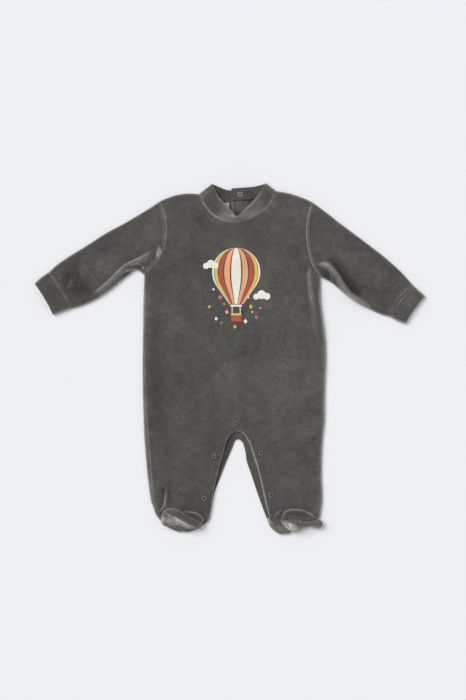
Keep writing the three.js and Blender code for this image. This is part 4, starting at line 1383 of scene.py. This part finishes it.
def make_garment():
    cloth = velour("velour")
    printed = velour("velour_printed", balloon_print)
    tape = plain("label_tape", linear(188, 189, 188), 0.8)
    nickel = plain("snap_metal", linear(128, 126, 120), 0.55, 0.2)
    bright = plain("snap_metal_bright", linear(176, 168, 152), 0.5, 0.2)
    thread = plain("thread", linear(182, 180, 172), 0.85)
    left, right = SHOULDER_BOW["left"], SHOULDER_BOW["right"]
    half = SEAM_GAP / 2
    pieces = {}

    def cloth_piece(node, grids, thickness, turned, **more):
        more.setdefault("material", cloth)
        pieces[node] = add_cloth(node + "_cloth", node, grids, thickness, turned, **more)

    front_left = half_layer(FRONT_LEFT, FRONT_LEFT, 1, left, BODY_STEP)
    front_right = half_layer(FRONT_RIGHT, FRONT_RIGHT, 1, right, BODY_STEP)[:, ::-1]
    cloth_piece("front", [(front_left, False), (front_right, False)], WALL, True, material=printed)
    back_left = half_layer(BACK_LEFT_INNER, FRONT_LEFT, -1, left, UNDER_STEP, -half)
    back_right = half_layer(BACK_RIGHT_INNER, FRONT_RIGHT, -1, right, UNDER_STEP, half)
    cloth_piece("back_left", [(back_left, False)], WALL, False)
    cloth_piece("back_right", [(back_right, False)], WALL, True)
    cloth_piece("sleeve_left", [(make_sleeve_grid(SLEEVE_LEFT, FRONT_LEFT, -1), True)], WALL, True)
    cloth_piece("sleeve_right", [(make_sleeve_grid(SLEEVE_RIGHT, FRONT_RIGHT, 1), True)], WALL, False)
    cloth_piece("cuff_left", [(make_cuff_grid(CUFF_LEFT, -1), True)], BAND_WALL, True, slot="band")
    cloth_piece("cuff_right", [(make_cuff_grid(CUFF_RIGHT, 1), True)], BAND_WALL, False, slot="band")
    cloth_piece("collar", [(make_band_grid(), False)], BAND_WALL, True, bulge=BAND_WALL / 2, slot="band")
    strip = make_strip_grid(**PLACKET, z=WALL + REST_GAP + STRIP_WALL)
    cloth_piece("placket", [(strip, False)], STRIP_WALL, True, bulge=FREE_BULGE)
    tab = make_strip_grid(**LABEL, z=WALL + REST_GAP + LABEL_WALL)
    cloth_piece("label", [(tab, False)], LABEL_WALL, True, material=tape, slot="label",
                bulge=LABEL_BULGE)
    cloth_piece("heel_left", [(make_heel_grid(HEEL_LEFT), True)], WALL, True)
    cloth_piece("heel_right", [(make_heel_grid(HEEL_RIGHT), True)], WALL, True)
    for node, rows in (("sole_left", SOLE_LEFT), ("vamp_left", VAMP_LEFT),
                       ("sole_right", SOLE_RIGHT), ("vamp_right", VAMP_RIGHT)):
        cloth_piece(node, [(make_leaf_grid(rows), False)], LEAF_WALL, True, bulge=LEAF_BULGE,
                    contrast=LEAF_CONTRAST)
    pieces.update(add_snaps(nickel, bright))
    pieces["neck_stitches"] = add_stitches(thread)
    return pieces


SHEETS = [
    # node, width, length, flat area or None where the cut is a rectangle, in metres, and what
    # the piece lies on
    ("front", 0.29, 0.5, 0.11, ["back_left", "back_right"]),
    ("back_left", 0.145, 0.49, 0.061, []),
    ("back_right", 0.14, 0.5, 0.056, []),
    ("sleeve_left", 0.235, 0.18, 0.0265, []),
    ("sleeve_right", 0.235, 0.18, 0.0265, []),
    ("cuff_left", 0.13, 0.025, None, []),
    ("cuff_right", 0.12, 0.023, None, []),
    ("collar", 0.31, 0.016, None, ["front", "back_left", "back_right"]),
    ("placket", 0.026, 0.076, None, ["back_right"]),
    ("label", 0.0135, 0.02, None, ["back_left"]),
    ("heel_left", 0.165, 0.028, 0.0033, []),
    ("heel_right", 0.16, 0.026, 0.0026, []),
    ("sole_left", 0.062, 0.026, 0.0013, ["heel_left", "front"]),
    ("sole_right", 0.062, 0.018, 0.00086, ["heel_right", "front"]),
    ("vamp_left", 0.034, 0.0105, 0.00024, ["front"]),
    ("vamp_right", 0.055, 0.0155, 0.00064, ["front"]),
]


def declare_sheets(pieces):
    carried = {
        "front": [name for name, *_ in SNAPS] + ["neck_stitches"],
        "collar": [NECK_SNAP[0]],
    }
    for node, width, length, area, rests_on in SHEETS:
        [pieces[name] for name in carried.get(node, [])]


# Table, light and camera

def add_table():
    half = 4.0
    mesh = bpy.data.meshes.new("table")
    corners = [(-half, -half), (half, -half), (half, half), (-half, half)]
    mesh.from_pydata([(x, y, 0) for x, y in corners], [], [[0, 1, 2, 3]])
    material = plain("table_white", linear(243, 244, 248), 0.9)
    mesh.materials.append(material)
    floor = bpy.data.objects.new("table", mesh)
    bpy.context.scene.collection.objects.link(floor)


def add_window(strength, width, place):
    """Soft daylight from one side, as even over the whole table as from a far window."""
    light = bpy.data.lights.new("window", "SUN")
    light.energy = strength
    light.angle = math.radians(width)
    light.color = (1, 0.99, 0.975)
    lamp = bpy.data.objects.new("window", light)
    lamp.location = place
    lamp.rotation_euler = (-Vector(place)).to_track_quat("-Z", "Y").to_euler()
    bpy.context.scene.collection.objects.link(lamp)


def add_light():
    world = bpy.data.worlds.new("studio")
    world.use_nodes = True
    world.node_tree.nodes["Background"].inputs["Color"].default_value = (0.98, 0.985, 1, 1)
    world.node_tree.nodes["Background"].inputs["Strength"].default_value = 0.5
    bpy.context.scene.world = world
    add_window(strength=2.1, width=40, place=(-1.6, 1.2, 2.0))


def add_camera():
    """Straight above, with a frame 1.05 m tall at the height of the table."""
    lens, sensor, frame_height = 85, 36, 1.05
    data = bpy.data.cameras.new("camera")
    data.lens = lens
    data.sensor_fit = "VERTICAL"
    data.sensor_height = sensor
    camera = bpy.data.objects.new("camera", data)
    camera.location = (0.00525, 0.0131, frame_height * lens / sensor)
    bpy.context.scene.collection.objects.link(camera)
    bpy.context.scene.camera = camera


add_table()
add_light()
add_camera()
garment = make_garment()
declare_sheets(garment)
bpy.context.scene.view_settings.view_transform = "Standard"
